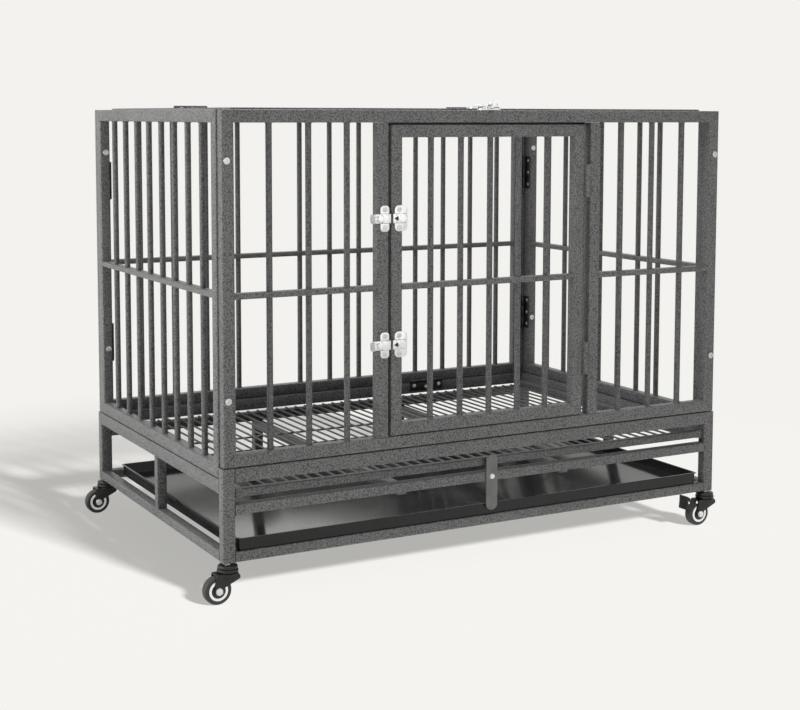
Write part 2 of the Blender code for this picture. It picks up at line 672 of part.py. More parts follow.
def slide_latch(shop, names, place, gap, lift):
    """A slide bolt in its guide and the keeper across the gap.

    place(a, b, n) turns the latch's own directions into the cage's: a runs from the fixed
    tube's edge toward the keeper, b across the bolt, n out of the tube's face. lift is how
    far the keeper's tube stands out beyond the guide's.
    """
    bolt_low = lift + 2 * GAP
    bolt_top = bolt_low + BOLT_THICK
    roof = bolt_top + BOLT_PLAY
    bridge_top = roof + BRIDGE_WALL
    slot_half = BOLT_WIDTH / 2 + BOLT_PLAY
    knob_a = gap - BOLT_TIP_GAP - BOLT_LENGTH + KNOB_SETBACK
    beyond = LATCH_HEIGHT

    def slab(bm, low, high, along="", radius=CORNER):
        return block(bm, place(*low), place(*high), along, radius)

    normal = Vector(place(0, 0, 1)) - Vector(place(0, 0, 0))
    out = "xyz"[[abs(value) > 0.5 for value in normal].index(True)]

    plate = slab(shape(), (-GUIDE_WIDTH, -LATCH_HEIGHT / 2, GAP), (0, LATCH_HEIGHT / 2, GAP + LATCH_PLATE),
                 out, PLATE_CORNER)
    bridge = slab(shape(), (-GUIDE_WIDTH + STEP, -BRIDGE_HEIGHT / 2, GAP + STEP),
                  (-STEP, BRIDGE_HEIGHT / 2, bridge_top))
    cuts = slab(shape(), (-beyond, -slot_half, -GAP), (beyond, slot_half, roof))
    knob_slot = shape()
    slab(knob_slot, (-beyond, -KNOB_STEM - 2 * GAP, bolt_top),
         (knob_a + BOLT_TRAVEL + KNOB_STEM + 2 * GAP, KNOB_STEM + 2 * GAP, beyond))
    guide = shop.piece(names[0], [plate, bridge], ZINC, place(0, 0, 0), cuts)
    join(guide, shop.tool(f"{names[0]}_knob_slot", knob_slot, guide.location), "DIFFERENCE")

    tip = gap - BOLT_TIP_GAP
    tail = tip - BOLT_LENGTH
    strip = slab(shape(), (tail, -BOLT_WIDTH / 2, bolt_low), (tip, BOLT_WIDTH / 2, bolt_top))
    tab = slab(shape(), (tail + STEP, -BOLT_WIDTH / 2 + STEP, bolt_low + STEP),
               (tail + BOLT_THICK, BOLT_WIDTH / 2 - STEP, TAB_HEIGHT))
    stem = rod(shape(), place(knob_a, 0, bolt_low + 2 * STEP), place(knob_a, 0, bridge_top + BOLT_PLAY + GAP),
               KNOB_STEM, 8)
    dome = rod(shape(), place(knob_a, 0, bridge_top + BOLT_PLAY), place(knob_a, 0, bridge_top + KNOB_RADIUS * KNOB_DOME),
               KNOB_RADIUS, 12, KNOB_RADIUS * KNOB_CROWN)
    eye_n = TAB_HEIGHT - BOLT_WIDTH / 2
    eye = rod(shape(), place(tail - GAP, 0, eye_n), place(tail + 2 * BOLT_THICK, 0, eye_n), TAB_HOLE, 10)
    shop.piece(names[1], [strip, tab, stem, dome], ZINC, place(tail, 0, bolt_low), eye)

    near = gap + KEEPER_SETBACK
    plate = slab(shape(), (near, -LATCH_HEIGHT / 2, lift + GAP),
                 (near + KEEPER_WIDTH, LATCH_HEIGHT / 2, lift + GAP + LATCH_PLATE), out, PLATE_CORNER)
    bridge = slab(shape(), (near + STEP, -BRIDGE_HEIGHT / 2, lift + GAP + STEP),
                  (near + KEEPER_WIDTH - BRIDGE_WALL, BRIDGE_HEIGHT / 2, bridge_top))
    lip = slab(shape(), (gap + 2 * STEP, -BOLT_WIDTH / 2, roof - STEP),
               (near + BRIDGE_WALL, BOLT_WIDTH / 2, bridge_top - STEP))
    cuts = slab(shape(), (-beyond, -slot_half, -GAP),
                (near + KEEPER_WIDTH - 2 * BRIDGE_WALL, slot_half, roof))
    keeper = shop.piece(names[2], [plate, bridge, lip], ZINC, place(near, 0, 0), cuts)
    hole = rod(shape(), place(near, 0, bolt_top), place(near, 0, beyond), PADLOCK_HOLE, 12)
    join(keeper, shop.tool(f"{names[2]}_hole", hole, keeper.location), "DIFFERENCE")


def latches(shop):
    post_edge = LATCH_POST_X + FACE / 2
    for level, drop in zip(("upper", "lower"), LATCH_DROPS):
        height = CAGE_TOP - drop
        names = [f"door_latch_{level}_{part}" for part in ("guide", "bolt", "keeper")]
        slide_latch(shop, names, lambda a, b, n, z=height: (post_edge + a, -HALF_Y - n, z + b),
                    LATCH_GAP, 0.0)
    names = [f"lid_latch_{part}" for part in ("guide", "bolt", "keeper")]
    slide_latch(shop, names, lambda a, b, n: (LID_LATCH_X + b, -INNER_Y + a, CAGE_TOP + n),
                LID_END_GAP, LID_PROUD)


def grate(shop):
    """Tube frame with close wires; a low flat bar closes it at the back."""
    half_x = INNER_X - LEDGE_THICK - GRATE_SIDE_GAP
    front = -HALF_Y + GRATE_SETBACK
    back = INNER_Y - GAP
    low = LEDGE_TOP + GAP
    high = low + GRATE_TUBE
    inner = half_x - GRATE_TUBE
    bar_top = low + GRATE_REAR_BAR
    sides = shape()
    for side in (-1, 1):
        block(sides, (side * half_x, front, low), (side * inner, back, high), "y")
    ends = shape()
    block(ends, (-inner - WELD_IN, front + STEP, low + STEP),
          (inner + WELD_IN, front + GRATE_TUBE, high - STEP), "x")
    block(ends, (-inner - WELD_IN, back - STEP, low + STEP), (inner + WELD_IN, back - GRATE_TUBE, bar_top))
    block(ends, (-inner - WELD_IN, CROSS_WIRE_Y - CROSS_WIRE / 2, low + STEP),
          (inner + WELD_IN, CROSS_WIRE_Y + CROSS_WIRE / 2, bar_top))
    wires = shape()
    wire_z = bar_top + WIRE_RADIUS / 2
    count = int((2 * inner - WIRE_PITCH) / WIRE_PITCH) + 1
    for x in centred(count, WIRE_PITCH):
        rod(wires, (x, front + GRATE_TUBE - WELD_IN, wire_z), (x, back - 2 * STEP, wire_z), WIRE_RADIUS, WIRE_SIDES)
    shop.piece("floor_grate", [sides, ends, wires], HAMMERTONE)


def tray(shop):
    left = TRAY_SHIFT_X - TRAY_WIDTH / 2
    right = TRAY_SHIFT_X + TRAY_WIDTH / 2
    near = -HALF_Y + TRAY_SETBACK
    far = near + TRAY_DEPTH
    low = BASE_LOW + LOW_RAIL_HEIGHT + GAP
    high = low + TRAY_HEIGHT
    pan = block(shape(), (left + TRAY_RIM, near + TRAY_RIM, low), (right - TRAY_RIM, far - TRAY_RIM, high - STEP),
                "z", TRAY_CORNER, 4)
    rim = block(shape(), (left, near, high - SHEET), (right, far, high), "z", TRAY_CORNER + TRAY_RIM, 4)
    wall = TRAY_RIM + SHEET
    hollow = block(shape(), (left + wall, near + wall, low + SHEET), (right - wall, far - wall, high + SHEET),
                   "z", TRAY_CORNER - SHEET, 4)
    shop.piece("tray", [pan, rim], TRAY_BLACK, (TRAY_SHIFT_X, near, low), hollow)


def turn_plate(shop):
    pivot = (TURN_PLATE_X, -HALF_Y, BASE_LOW + MID_RAIL_UNDERSIDE + LOW_RAIL_HEIGHT / 2)
    front = -HALF_Y - GAP - TURN_PLATE_THICK
    plate = block(shape(), (TURN_PLATE_X - TURN_PLATE_WIDTH / 2, front, pivot[2] - TURN_PLATE_DOWN),
                  (TURN_PLATE_X + TURN_PLATE_WIDTH / 2, -HALF_Y - GAP, pivot[2] + TURN_PLATE_UP),
                  "y", TURN_PLATE_WIDTH * 0.46, 6)
    bore = rod(shape(), (pivot[0], front - GAP, pivot[2]), pivot, SCREW_RADIUS + GAP, 16)
    shop.piece("turn_plate", [plate], PLATE_GREY, pivot, bore)
    head = rod(shape(), (pivot[0], front - GAP, pivot[2]), (pivot[0], front - GAP - SCREW_HEAD_HEIGHT, pivot[2]),
               SCREW_HEAD_RADIUS, 20, SCREW_HEAD_RADIUS * 0.7)
    shank = rod(shape(), (pivot[0], front - 2 * GAP, pivot[2]),
                (pivot[0], pivot[1] + SCREW_DEPTH - GAP, pivot[2]), SCREW_RADIUS, 16)
    shop.piece("turn_plate_bolt", [head, shank], ZINC, pivot)


def caster(shop, name, side, end, braked):
    """Stem in the corner post, swivelling fork, axle and wheel, trailing toward -X."""
    x, y = side * STEM_X, end * STEM_Y
    head_low = CAP_LOW - RIVET_HEAD
    stem = [(0, BASE_LOW + STUD_LENGTH), (PIVOT_RADIUS, BASE_LOW + STUD_LENGTH),
            (PIVOT_RADIUS, BASE_LOW - GAP), (COLLAR_RADIUS, BASE_LOW - GAP),
            (COLLAR_RADIUS, CAP_TOP + GAP), (PIVOT_RADIUS, CAP_TOP + GAP),
            (PIVOT_RADIUS, CAP_LOW - GAP), (PIVOT_RADIUS + RIVET_HEAD, CAP_LOW - GAP),
            (PIVOT_RADIUS + RIVET_HEAD, head_low), (0, head_low)]
    shop.turned(f"{name}_stem", stem, ZINC, (x, y, 0), STEM_STEPS)

    wheel_x = x - TRAIL
    legs = shape()
    holes = shape()
    boss = (wheel_x, WHEEL_RADIUS)
    pedal_pivot = (wheel_x - PEDAL_PIVOT_BACK, WHEEL_RADIUS + PEDAL_PIVOT_RISE)
    top = CAP_TOP - 3 * STEP
    tail = [(boss[0] - LEG_BOSS_RADIUS, CAP_LOW - LEG_BACK_DROP), (x - CAP_RADIUS, top)]
    if braked:
        tail = ([(boss[0] - LEG_BOSS_RADIUS, CAP_LOW - BRAKED_BACK_DROP)]
                + arc(pedal_pivot, PEDAL_EAR_RADIUS, 210, 80, 3) + [(x - CAP_RADIUS, top)])
    leg = [(x + CAP_RADIUS * LEG_FRONT, top)] + arc(boss, LEG_BOSS_RADIUS, -35, -180, 4) + tail
    for hand in (-1, 1):
        inner, outer = sorted((hand * LEG_INNER, hand * (LEG_INNER + LEG_THICK)))
        outline_xz(legs, leg, y + inner, y + outer)
    reach = LEG_INNER + LEG_THICK + GAP
    rod(holes, (wheel_x, y - reach, WHEEL_RADIUS), (wheel_x, y + reach, WHEEL_RADIUS),
        AXLE_RADIUS + GAP, AXLE_SIDES)
    if braked:
        rod(holes, (pedal_pivot[0], y - reach, pedal_pivot[1]), (pedal_pivot[0], y + reach, pedal_pivot[1]),
            PEDAL_PIN_RADIUS + GAP, 8)
    bridge = block(shape(), (x - TRAIL * BRIDGE_SPAN[0], y - LEG_INNER - 2 * STEP, CAP_LOW + STEP),
                   (x - TRAIL * BRIDGE_SPAN[1], y + LEG_INNER + 2 * STEP, CAP_LOW + BRIDGE_THICK))
    crown = [(CAP_RADIUS * part, CAP_TOP - drop) for part, drop in CAP_CROWN]
    cap = [(PIVOT_RADIUS + GAP, CAP_TOP), *crown, (CAP_RADIUS, CAP_LOW), (PIVOT_RADIUS + GAP, CAP_LOW)]
    shop.turned(f"{name}_fork", cap, BLACK_STEEL, (x, y, 0), CAP_STEPS, [legs, bridge], holes)

    nut_inner = LEG_INNER + LEG_THICK + GAP
    shaft = rod(shape(), (wheel_x, y - nut_inner - GAP, WHEEL_RADIUS),
                (wheel_x, y + nut_inner + GAP, WHEEL_RADIUS), AXLE_RADIUS, AXLE_SIDES)
    nuts = shape()
    for hand in (-1, 1):
        rod(nuts, (wheel_x, y + hand * nut_inner, WHEEL_RADIUS),
            (wheel_x, y + hand * (nut_inner + AXLE_NUT_HEIGHT), WHEEL_RADIUS), AXLE_NUT_RADIUS, 6)
    shop.piece(f"{name}_axle", [shaft, nuts], ZINC, (wheel_x, y, WHEEL_RADIUS))

    bore, half = AXLE_RADIUS + GAP, WHEEL_WIDTH / 2
    rim = WHEEL_RADIUS - TREAD_DEPTH
    shoulder = rim + TREAD_DEPTH / 3
    near_half = [(bore, half), (HUB_RADIUS, half), (rim, half - WHEEL_DISH), (shoulder, half - TREAD_ROUND / 3),
                 (WHEEL_RADIUS, half - TREAD_ROUND)]
    wheel = near_half + [(radius, -height) for radius, height in reversed(near_half)]
    shop.turned(f"{name}_wheel", wheel, TREAD, (wheel_x, y, WHEEL_RADIUS), WHEEL_STEPS, along_y=True)

    if braked:
        hub_x, hub_z = pedal_pivot
        width = LEG_INNER - GAP
        hub_rod = rod(shape(), (hub_x, y - width, hub_z), (hub_x, y + width, hub_z), PEDAL_HUB_RADIUS, 10)
        pins = rod(shape(), (hub_x, y - LEG_INNER - LEG_THICK, hub_z),
                   (hub_x, y + LEG_INNER + LEG_THICK, hub_z), PEDAL_PIN_RADIUS, 8)
        tread = block(shape(), (hub_x - PEDAL_REACH, y - width - PEDAL_FLARE, hub_z - PEDAL_THICK / 2),
                      (hub_x - PEDAL_NECK + PEDAL_OVERLAP, y + width + PEDAL_FLARE, hub_z + PEDAL_THICK / 2), "x",
                      PEDAL_THICK / 3)
        neck = block(shape(), (hub_x - PEDAL_NECK, y - width + STEP, hub_z - PEDAL_THICK / 2 + STEP),
                     (hub_x, y + width - STEP, hub_z + PEDAL_THICK / 2 - STEP))
        finger = block(shape(), (hub_x - BRAKE_FINGER_BACK, y - width / 2, hub_z - BRAKE_FINGER_DROP),
                       (hub_x - BRAKE_FINGER_BACK - BRAKE_FINGER_THICK, y + width / 2, hub_z))
        shop.piece(f"{name}_brake_pedal", [hub_rod, pins, neck, tread, finger], BLACK_STEEL,
                   (hub_x, y, hub_z))


def casters(shop):
    for side, hand in ((-1, "left"), (1, "right")):
        for end, place in ((-1, "front"), (1, "back")):
            caster(shop, f"caster_{place}_{hand}", side, end, side > 0)


def main():
    clear_scene()
    wheel_overhang = TRAIL + WHEEL_RADIUS - CAP_RADIUS
    tab_overhang = TAB_HEIGHT - (CAP_RADIUS - TUBE / 2)
    shop = Workshop((wheel_overhang / 2, tab_overhang / 2, 0))
    base_frames(shop)
    base_rails(shop)
    floor_frame(shop)
    grate_frame(shop)
    panels(shop)
    front_door(shop)
    lid(shop)
    door_hinges(shop)
    lid_hinges(shop)
    corner_hinges(shop)
    latches(shop)
    grate(shop)
    tray(shop)
    turn_plate(shop)
    casters(shop)


main()
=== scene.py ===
import math

import bpy
from mathutils import Matrix, Vector


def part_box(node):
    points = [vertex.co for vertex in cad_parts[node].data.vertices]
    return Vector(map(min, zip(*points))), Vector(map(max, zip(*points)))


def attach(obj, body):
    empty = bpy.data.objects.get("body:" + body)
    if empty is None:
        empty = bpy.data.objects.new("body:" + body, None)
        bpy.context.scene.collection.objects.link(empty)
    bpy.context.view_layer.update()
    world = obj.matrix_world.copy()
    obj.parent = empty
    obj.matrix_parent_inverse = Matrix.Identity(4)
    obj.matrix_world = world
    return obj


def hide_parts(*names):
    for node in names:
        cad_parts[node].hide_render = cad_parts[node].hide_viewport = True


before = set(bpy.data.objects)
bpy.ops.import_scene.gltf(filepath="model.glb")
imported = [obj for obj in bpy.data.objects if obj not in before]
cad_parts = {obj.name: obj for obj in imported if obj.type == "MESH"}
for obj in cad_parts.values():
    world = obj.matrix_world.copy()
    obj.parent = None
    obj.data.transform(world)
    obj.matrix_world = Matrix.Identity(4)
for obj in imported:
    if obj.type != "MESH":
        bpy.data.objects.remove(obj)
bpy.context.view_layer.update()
middle = Vector((0.014, 0.00575, 0.0))  # where the cage's own centre stands in the frame
print("frame loaded:", len(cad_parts), "nodes")


# Shader helpers
class Signal:  # a socket that takes part in sums
    def __init__(self, finish, socket):
        self.finish, self.socket = finish, socket

    def math(self, operation, first, second):
        return self.finish.add("Math", {"operation": operation}, {0: first, 1: second})

    def __add__(self, other):
        return self.math("ADD", self, other)

    def __mul__(self, other):
        return self.math("MULTIPLY", self, other)

    def __rsub__(self, other):
        return self.math("SUBTRACT", other, self)

    __radd__, __rmul__ = __add__, __mul__


# One material; add() makes any node from its type, settings and sockets
class Finish:
    def __init__(self, name, fixed):
        self.material = bpy.data.materials.new(name)
        self.material.use_nodes = True
        self.tree = self.material.node_tree
        self.shader = self.tree.nodes["Principled BSDF"]
        self.place = self.add("TexCoord", out=3)
        self.set(fixed)

    def add(self, kind, settings=None, sockets=None, out=0):
        node = self.tree.nodes.new("ShaderNode" + kind)
        for key, value in (settings or {}).items():
            if key == "stops":
                for element, (position, colour) in zip(node.color_ramp.elements, value):
                    element.position, element.color = position, colour
                for position, colour in value[2:]:
                    node.color_ramp.elements.new(position).color = colour
            else:
                setattr(node, key, value)
        for key, value in (sockets or {}).items():
            self.feed(node.inputs[key], value)
        return Signal(self, node.outputs[out])

    def feed(self, socket, value):
        if isinstance(value, Signal):
            self.tree.links.new(value.socket, socket)
        else:
            socket.default_value = value

    def set(self, sockets):
        for key, value in sockets.items():
            self.feed(self.shader.inputs[key], value)

    def noise(self, scale, detail=2.0, vector=None, out=0):
        return self.add("TexNoise", {}, {"Vector": vector or self.place, "Scale": scale, "Detail": detail}, out)

    def bump(self, height, strength, distance):
        self.set({"Normal": self.add("Bump", {}, {"Height": height, "Strength": strength, "Distance": distance})})


def grey(value, tint=0.0):
    return (value, value, value * (1 + tint), 1.0)


hammertone = {"cells": 380.0, "smooth": 0.35, "fineBy": 2.2, "cloud": 9.0, "shares": (0.72, 0.42, 0.16),
              "drift": 190.0, "driftBy": 0.0030, "dark": 0.085, "mid": 0.175, "light": 0.285, "tint": 0.02,
              "stops": (0.46, 0.68, 0.92), "metal": 0.08, "shine": 0.28, "rough": (0.32, 0.52),
              "bump": (0.75, 0.0006)}  # every bump is its strength and its depth in metres


# Hammered silver vein paint: pebbled cells with pale crests and dark seams; a tone below 1 makes a darker copy that
# paints shade onto the pieces it covers
def hammertoneFinish(name, v, tone=1.0):
    mat = Finish(name, {"Metallic": v["metal"], "Specular IOR Level": v["shine"]})
    drift = mat.noise(v["drift"], 2.0, out=1)
    pushed = mat.add("VectorMath", {"operation": "SCALE"}, {0: drift, "Scale": v["driftBy"]})
    bent = mat.add("VectorMath", {"operation": "ADD"}, {0: mat.place, 1: pushed})
    pebble = mat.add("TexVoronoi", {"feature": "SMOOTH_F1"},
                     {"Vector": bent, "Scale": v["cells"], "Smoothness": v["smooth"]})
    fine = mat.noise(v["cells"] * v["fineBy"], 3.0, bent)
    cloud = mat.noise(v["cloud"], 3.0)
    ofPebble, ofFine, ofCloud = v["shares"]
    level = (1.0 - pebble) * ofPebble + fine * ofFine + cloud * ofCloud
    seam, middling, crest = v["stops"]
    stops = [(seam, grey(v["dark"] * tone)), (crest, grey(v["light"] * tone)),
             (middling, grey(v["mid"] * tone, v["tint"]))]
    shade = mat.add("ValToRGB", {"stops": stops}, {"Fac": level})
    low, high = v["rough"]
    mat.set({"Base Color": shade, "Roughness": fine * (high - low) + low})
    mat.bump(level, *v["bump"])
    return mat.material


wear = {"cloudShare": 0.6, "grainShare": 0.4, "from": 0.35, "to": 0.65}


# Metal, plastic or rubber with cloudy wear: colour and roughness wander a little
def plainFinish(name, v):
    mat = Finish(name, {"Metallic": v["metal"], "Specular IOR Level": v.get("shine", 0.5)})
    cloud = mat.noise(v["cloud"], 4.0)
    grain = mat.noise(v["grain"], 2.0)
    blend = mat.add("MapRange", {}, {"Value": cloud * wear["cloudShare"] + grain * wear["grainShare"],
                                     "From Min": wear["from"], "From Max": wear["to"]})
    dark, light = v["tones"]
    colours = {0: blend, 6: grey(dark), 7: grey(light, v.get("tint", 0.0))}
    low, high = v["rough"]
    mat.set({"Base Color": mat.add("Mix", {"data_type": "RGBA"}, colours, 2), "Roughness": blend * (high - low) + low})
    mat.bump(grain, *v["bump"])
    return mat.material


finishes = {
    "tubePaint": hammertoneFinish("hammertonePaint", hammertone),
    # The copy for the bars and grate tubes is darker as painted shade; the copy for the grate wires is darker still,
    # as painted shade inside the base
    "shadedBarPaint": hammertoneFinish("hammertoneBars", {**hammertone, "cells": 360.0}, 0.8),
    "shadedWirePaint": hammertoneFinish("hammertoneWire", {**hammertone, "cells": 520.0, "bump": (0.75, 0.0004)}, 0.7),
    "zinc": plainFinish("brightZinc", {
        "metal": 1.0, "tones": (0.66, 0.84), "tint": 0.01, "rough": (0.22, 0.38),
        "cloud": 60.0, "grain": 700.0, "bump": (0.15, 0.0002)}),
    "screwSteel": plainFinish("screwSteel", {
        "metal": 1.0, "tones": (0.50, 0.66), "rough": (0.25, 0.42),
        "cloud": 90.0, "grain": 900.0, "bump": (0.1, 0.0002)}),
    "chrome": plainFinish("wheelRingChrome", {
        "metal": 1.0, "tones": (0.85, 0.95), "rough": (0.08, 0.16),
        "cloud": 40.0, "grain": 300.0, "bump": (0.03, 0.0001)}),
    "blackSteel": plainFinish("blackSteel", {
        "metal": 0.35, "tones": (0.012, 0.028), "rough": (0.28, 0.46),
        "cloud": 50.0, "grain": 600.0, "bump": (0.12, 0.0003)}),
    "plateGrey": plainFinish("plateGrey", {
        "metal": 0.2, "tones": (0.14, 0.20), "rough": (0.30, 0.45),
        "cloud": 60.0, "grain": 700.0, "bump": (0.12, 0.0002)}),
    "trayGloss": plainFinish("trayGloss", {
        "metal": 0.0, "tones": (0.010, 0.019), "tint": 0.10, "rough": (0.08, 0.16), "shine": 0.32,
        "cloud": 7.0, "grain": 260.0, "bump": (0.05, 0.0003)}),
    "rubber": plainFinish("treadRubber", {
        "metal": 0.0, "tones": (0.030, 0.060), "rough": (0.55, 0.75),
        "cloud": 80.0, "grain": 1100.0, "bump": (0.25, 0.0003)}),
    "hubPlastic": plainFinish("hubPlastic", {
        "metal": 0.0, "tones": (0.014, 0.024), "rough": (0.25, 0.4),
        "cloud": 70.0, "grain": 800.0, "bump": (0.08, 0.0002)}),
}
# The part's material slot that each finish fills
slots = {"tubePaint": "hammertone", "shadedBarPaint": "hammertone", "shadedWirePaint": "hammertone", "zinc": "zinc",
         "screwSteel": "zinc", "chrome": "zinc", "blackSteel": "black_steel", "plateGrey": "plate_grey",
         "trayGloss": "tray_black", "rubber": "wheel_rubber", "hubPlastic": "wheel_rubber"}
print("finishes made:", len(finishes))


# Modelling helpers
tiny = 1e-6  # edges that run less than this along an axis lie across it
sheetRim = 0.0004  # softened rim of sheet steel
thinTube = 0.0018  # corner radius of the thinner tubes


def deselect():
    bpy.ops.object.select_all(action="DESELECT")


# Selects vertices, edges or faces of the active piece and stays in edit mode
def pick(made, kind, test):
    bpy.ops.object.mode_set(mode="EDIT")
    bpy.ops.mesh.select_mode(type=kind)
    bpy.ops.mesh.select_all(action="DESELECT")
    bpy.ops.object.mode_set(mode="OBJECT")
    mesh = made.data
    for item in {"VERT": mesh.vertices, "EDGE": mesh.edges, "FACE": mesh.polygons}[kind]:
        item.select = bool(test(item))
    bpy.ops.object.mode_set(mode="EDIT")


def leave():
    bpy.ops.object.mode_set(mode="OBJECT")


def run(made, edge):
    first, second = (made.data.vertices[i].co for i in edge.vertices)
    return second - first


# The piece just added, its place, turn and scale made part of its mesh
def applied():
    bpy.ops.object.transform_apply(location=True, rotation=True, scale=True)
    return bpy.context.object


def cube(low, high):
    deselect()
    low, high = Vector(low), Vector(high)
    bpy.ops.mesh.primitive_cube_add(size=1, location=(low + high) / 2)
    bpy.context.object.scale = [abs(side) for side in high - low]
    return applied()


def roundEdges(made, test, radius, steps):
    pick(made, "EDGE", test)
    bpy.ops.mesh.bevel(offset=radius, segments=steps)
    leave()


# A square tube seen from outside: a block whose edges along one axis are rounded
def beam(low, high, along, radius=0.0022, steps=3):
    made = cube(low, high)
    axis = "xyz".index(along)
    roundEdges(made, lambda edge: abs(run(made, edge)[axis]) > tiny, radius, steps)
    return made


def softBlock(low, high, radius=0.0006, steps=2):
    made = cube(low, high)
    roundEdges(made, lambda edge: True, radius, steps)
    return made


turnTo = {"x": (0, math.pi / 2, 0), "y": (math.pi / 2, 0, 0), "z": (0, 0, 0)}


# A cylinder about an axis through its centre, its rims rounded
def disc(centre, along, radius, length, sides=24, rim=0.0, steps=2):
    deselect()
    bpy.ops.mesh.primitive_cylinder_add(vertices=sides, radius=radius, depth=length, location=centre,
                                        rotation=turnTo[along])
    made = applied()
    if rim:
        axis = "xyz".index(along)
        roundEdges(made, lambda edge: abs(run(made, edge)[axis]) < tiny, rim, steps)
    return made


# Upright disc between two heights
def upright(x, y, low, high, radius, *look):
    return disc((x, y, (low + high) / 2), "z", radius, high - low, *look)


def ring(centre, along, radius, thick):
    deselect()
    bpy.ops.mesh.primitive_torus_add(location=centre, rotation=turnTo[along], major_radius=radius, minor_radius=thick,
                                     major_segments=16, minor_segments=6)
    return applied()


# A flat outline made thick along one axis, its rims softened
def plateFrom(points, along, near, far, radius):
    deselect()
    bpy.ops.mesh.primitive_circle_add(vertices=len(points), radius=0.01, fill_type="NGON")
    made = bpy.context.object
    axis = "xyz".index(along)
    for vertex, point in zip(made.data.vertices, points):
        spot = list(point)
        spot.insert(axis, near)
        vertex.co = spot
    pick(made, "FACE", lambda face: True)
    push = [0.0, 0.0, 0.0]
    push[axis] = far - near
    bpy.ops.mesh.extrude_region_move(TRANSFORM_OT_translate={"value": push})
    bpy.ops.mesh.select_all(action="SELECT")
    bpy.ops.mesh.normals_make_consistent(inside=False)
    leave()
    roundEdges(made, lambda edge: abs(run(made, edge)[axis]) < tiny, radius, 2)
    return made


# Twins of a piece at each move, every one with its own mesh; the model itself goes
def copies(model, moves):
    made = []
    for move in moves:
        twin = bpy.data.objects.new(model.name, model.data.copy())
        bpy.context.scene.collection.objects.link(twin)
        twin.data.transform(Matrix.Translation(move))
        made.append(twin)
    bpy.data.objects.remove(model, do_unlink=True)
    return made


def join(parts):
    deselect()
    for part in parts:
        part.select_set(True)
    bpy.context.view_layer.objects.active = parts[0]
    if len(parts) > 1:
        bpy.ops.object.join()
    return bpy.context.view_layer.objects.active


# Cuts one piece out of another
def cutOut(made, cutter):
    cut = made.modifiers.new("cut", "BOOLEAN")
    cut.operation, cut.object, cut.solver = "DIFFERENCE", cutter, "EXACT"
    join([made])
    bpy.ops.object.modifier_apply(modifier="cut")
    bpy.data.objects.remove(cutter, do_unlink=True)


# Joins parts into one piece, moves it home, smooths it and hands it to its body
def settle(name, parts, body, finish, nodes=(), angle=35):
    made, slot = join(parts), slots[finish]
    made.name = name
    made.data.transform(Matrix.Translation(middle))
    bpy.ops.object.shade_smooth_by_angle(angle=math.radians(angle))
    made.data.materials.clear()
    made.data.materials.append(finishes[finish])
    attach(made, body)
    if nodes:
        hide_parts(*nodes)


# Camera, floor and light
camera = {"eye": (-1.445, -2.643, 0.828), "yaw": 28.78, "pitch": 5.183, "roll": 0.114, "focal": 1488.5,
          "width": 800.0, "sensor": 36.0, "shift": -0.13}


def addCamera(v):
    bpy.ops.object.camera_add(location=v["eye"])
    made = bpy.context.object
    yaw, pitch, roll = (math.radians(v[key]) for key in ("yaw", "pitch", "roll"))
    turn = (Matrix.Rotation(-yaw, 3, "Z") @ Matrix.Rotation(math.pi / 2 - pitch, 3, "X")
            @ Matrix.Rotation(roll, 3, "Z"))
    made.rotation_euler = turn.to_euler()
    made.data.sensor_width = v["sensor"]
    made.data.lens = v["sensor"] * v["focal"] / v["width"]
    made.data.shift_y = v["shift"]
    bpy.context.scene.camera = made


studio = {"backdrop": (0.896, 0.888, 0.856, 1.0), "fill": 0.07, "floor": (0.80, 0.793, 0.764, 1.0),
          "floorSize": 30.0, "ownGlow": 0.49, "fadeFrom": 1.0, "fadeTo": 1.7}


# What the camera, metal and glass see of the backdrop; the light on the object comes from elsewhere
def shownTo(tree):
    ray = tree.nodes.new("ShaderNodeLightPath")
    shown = ray.outputs["Is Camera Ray"]
    for kind in ("Is Glossy Ray", "Is Transmission Ray"):
        either = tree.nodes.new("ShaderNodeMath")
        either.operation = "MAXIMUM"
        tree.links.new(shown, either.inputs[0])
        tree.links.new(ray.outputs[kind], either.inputs[1])
        shown = either.outputs[0]
    return shown


def addWorld(v):
    world = bpy.data.worlds.new("studio")
    bpy.context.scene.world = world
    world.use_nodes = True
    nodes, links = world.node_tree.nodes, world.node_tree.links
    back = nodes["Background"]
    back.inputs["Color"].default_value = (1.0, 1.0, 1.0, 1.0)
    back.inputs["Strength"].default_value = v["fill"]
    seen = nodes.new("ShaderNodeBackground")
    seen.inputs["Color"].default_value = v["backdrop"]
    mix = nodes.new("ShaderNodeMixShader")
    links.new(shownTo(world.node_tree), mix.inputs["Fac"])
    links.new(back.outputs[0], mix.inputs[1])
    links.new(seen.outputs[0], mix.inputs[2])
    links.new(mix.outputs[0], nodes["World Output"].inputs["Surface"])


def addFloor(v):
    bpy.ops.mesh.primitive_plane_add(size=v["floorSize"], location=(0, 0, 0))
    floor = bpy.context.object
    floor.name = "floor"
    mat = Finish("paleFloor", {"Base Color": v["floor"], "Roughness": 0.9, "Specular IOR Level": 0.1})
    away = mat.add("VectorMath", {"operation": "LENGTH"}, {0: mat.place}, 1)
    fade = mat.add("MapRange", {"interpolation_type": "SMOOTHSTEP"},
                   {"Value": away, "From Min": v["fadeFrom"], "From Max": v["fadeTo"]})
    glow = mat.add("Emission", {}, {"Color": v["backdrop"]})
    lit = Signal(mat, mat.shader.outputs[0])
    shown = Signal(mat, shownTo(mat.tree))
    mixed = mat.add("MixShader", {}, {"Fac": (fade * (1 - v["ownGlow"]) + v["ownGlow"]) * shown, 1: lit, 2: glow})
    mat.tree.links.new(mixed.socket, mat.tree.nodes["Material Output"].inputs["Surface"])
    floor.data.materials.append(mat.material)
    return floor


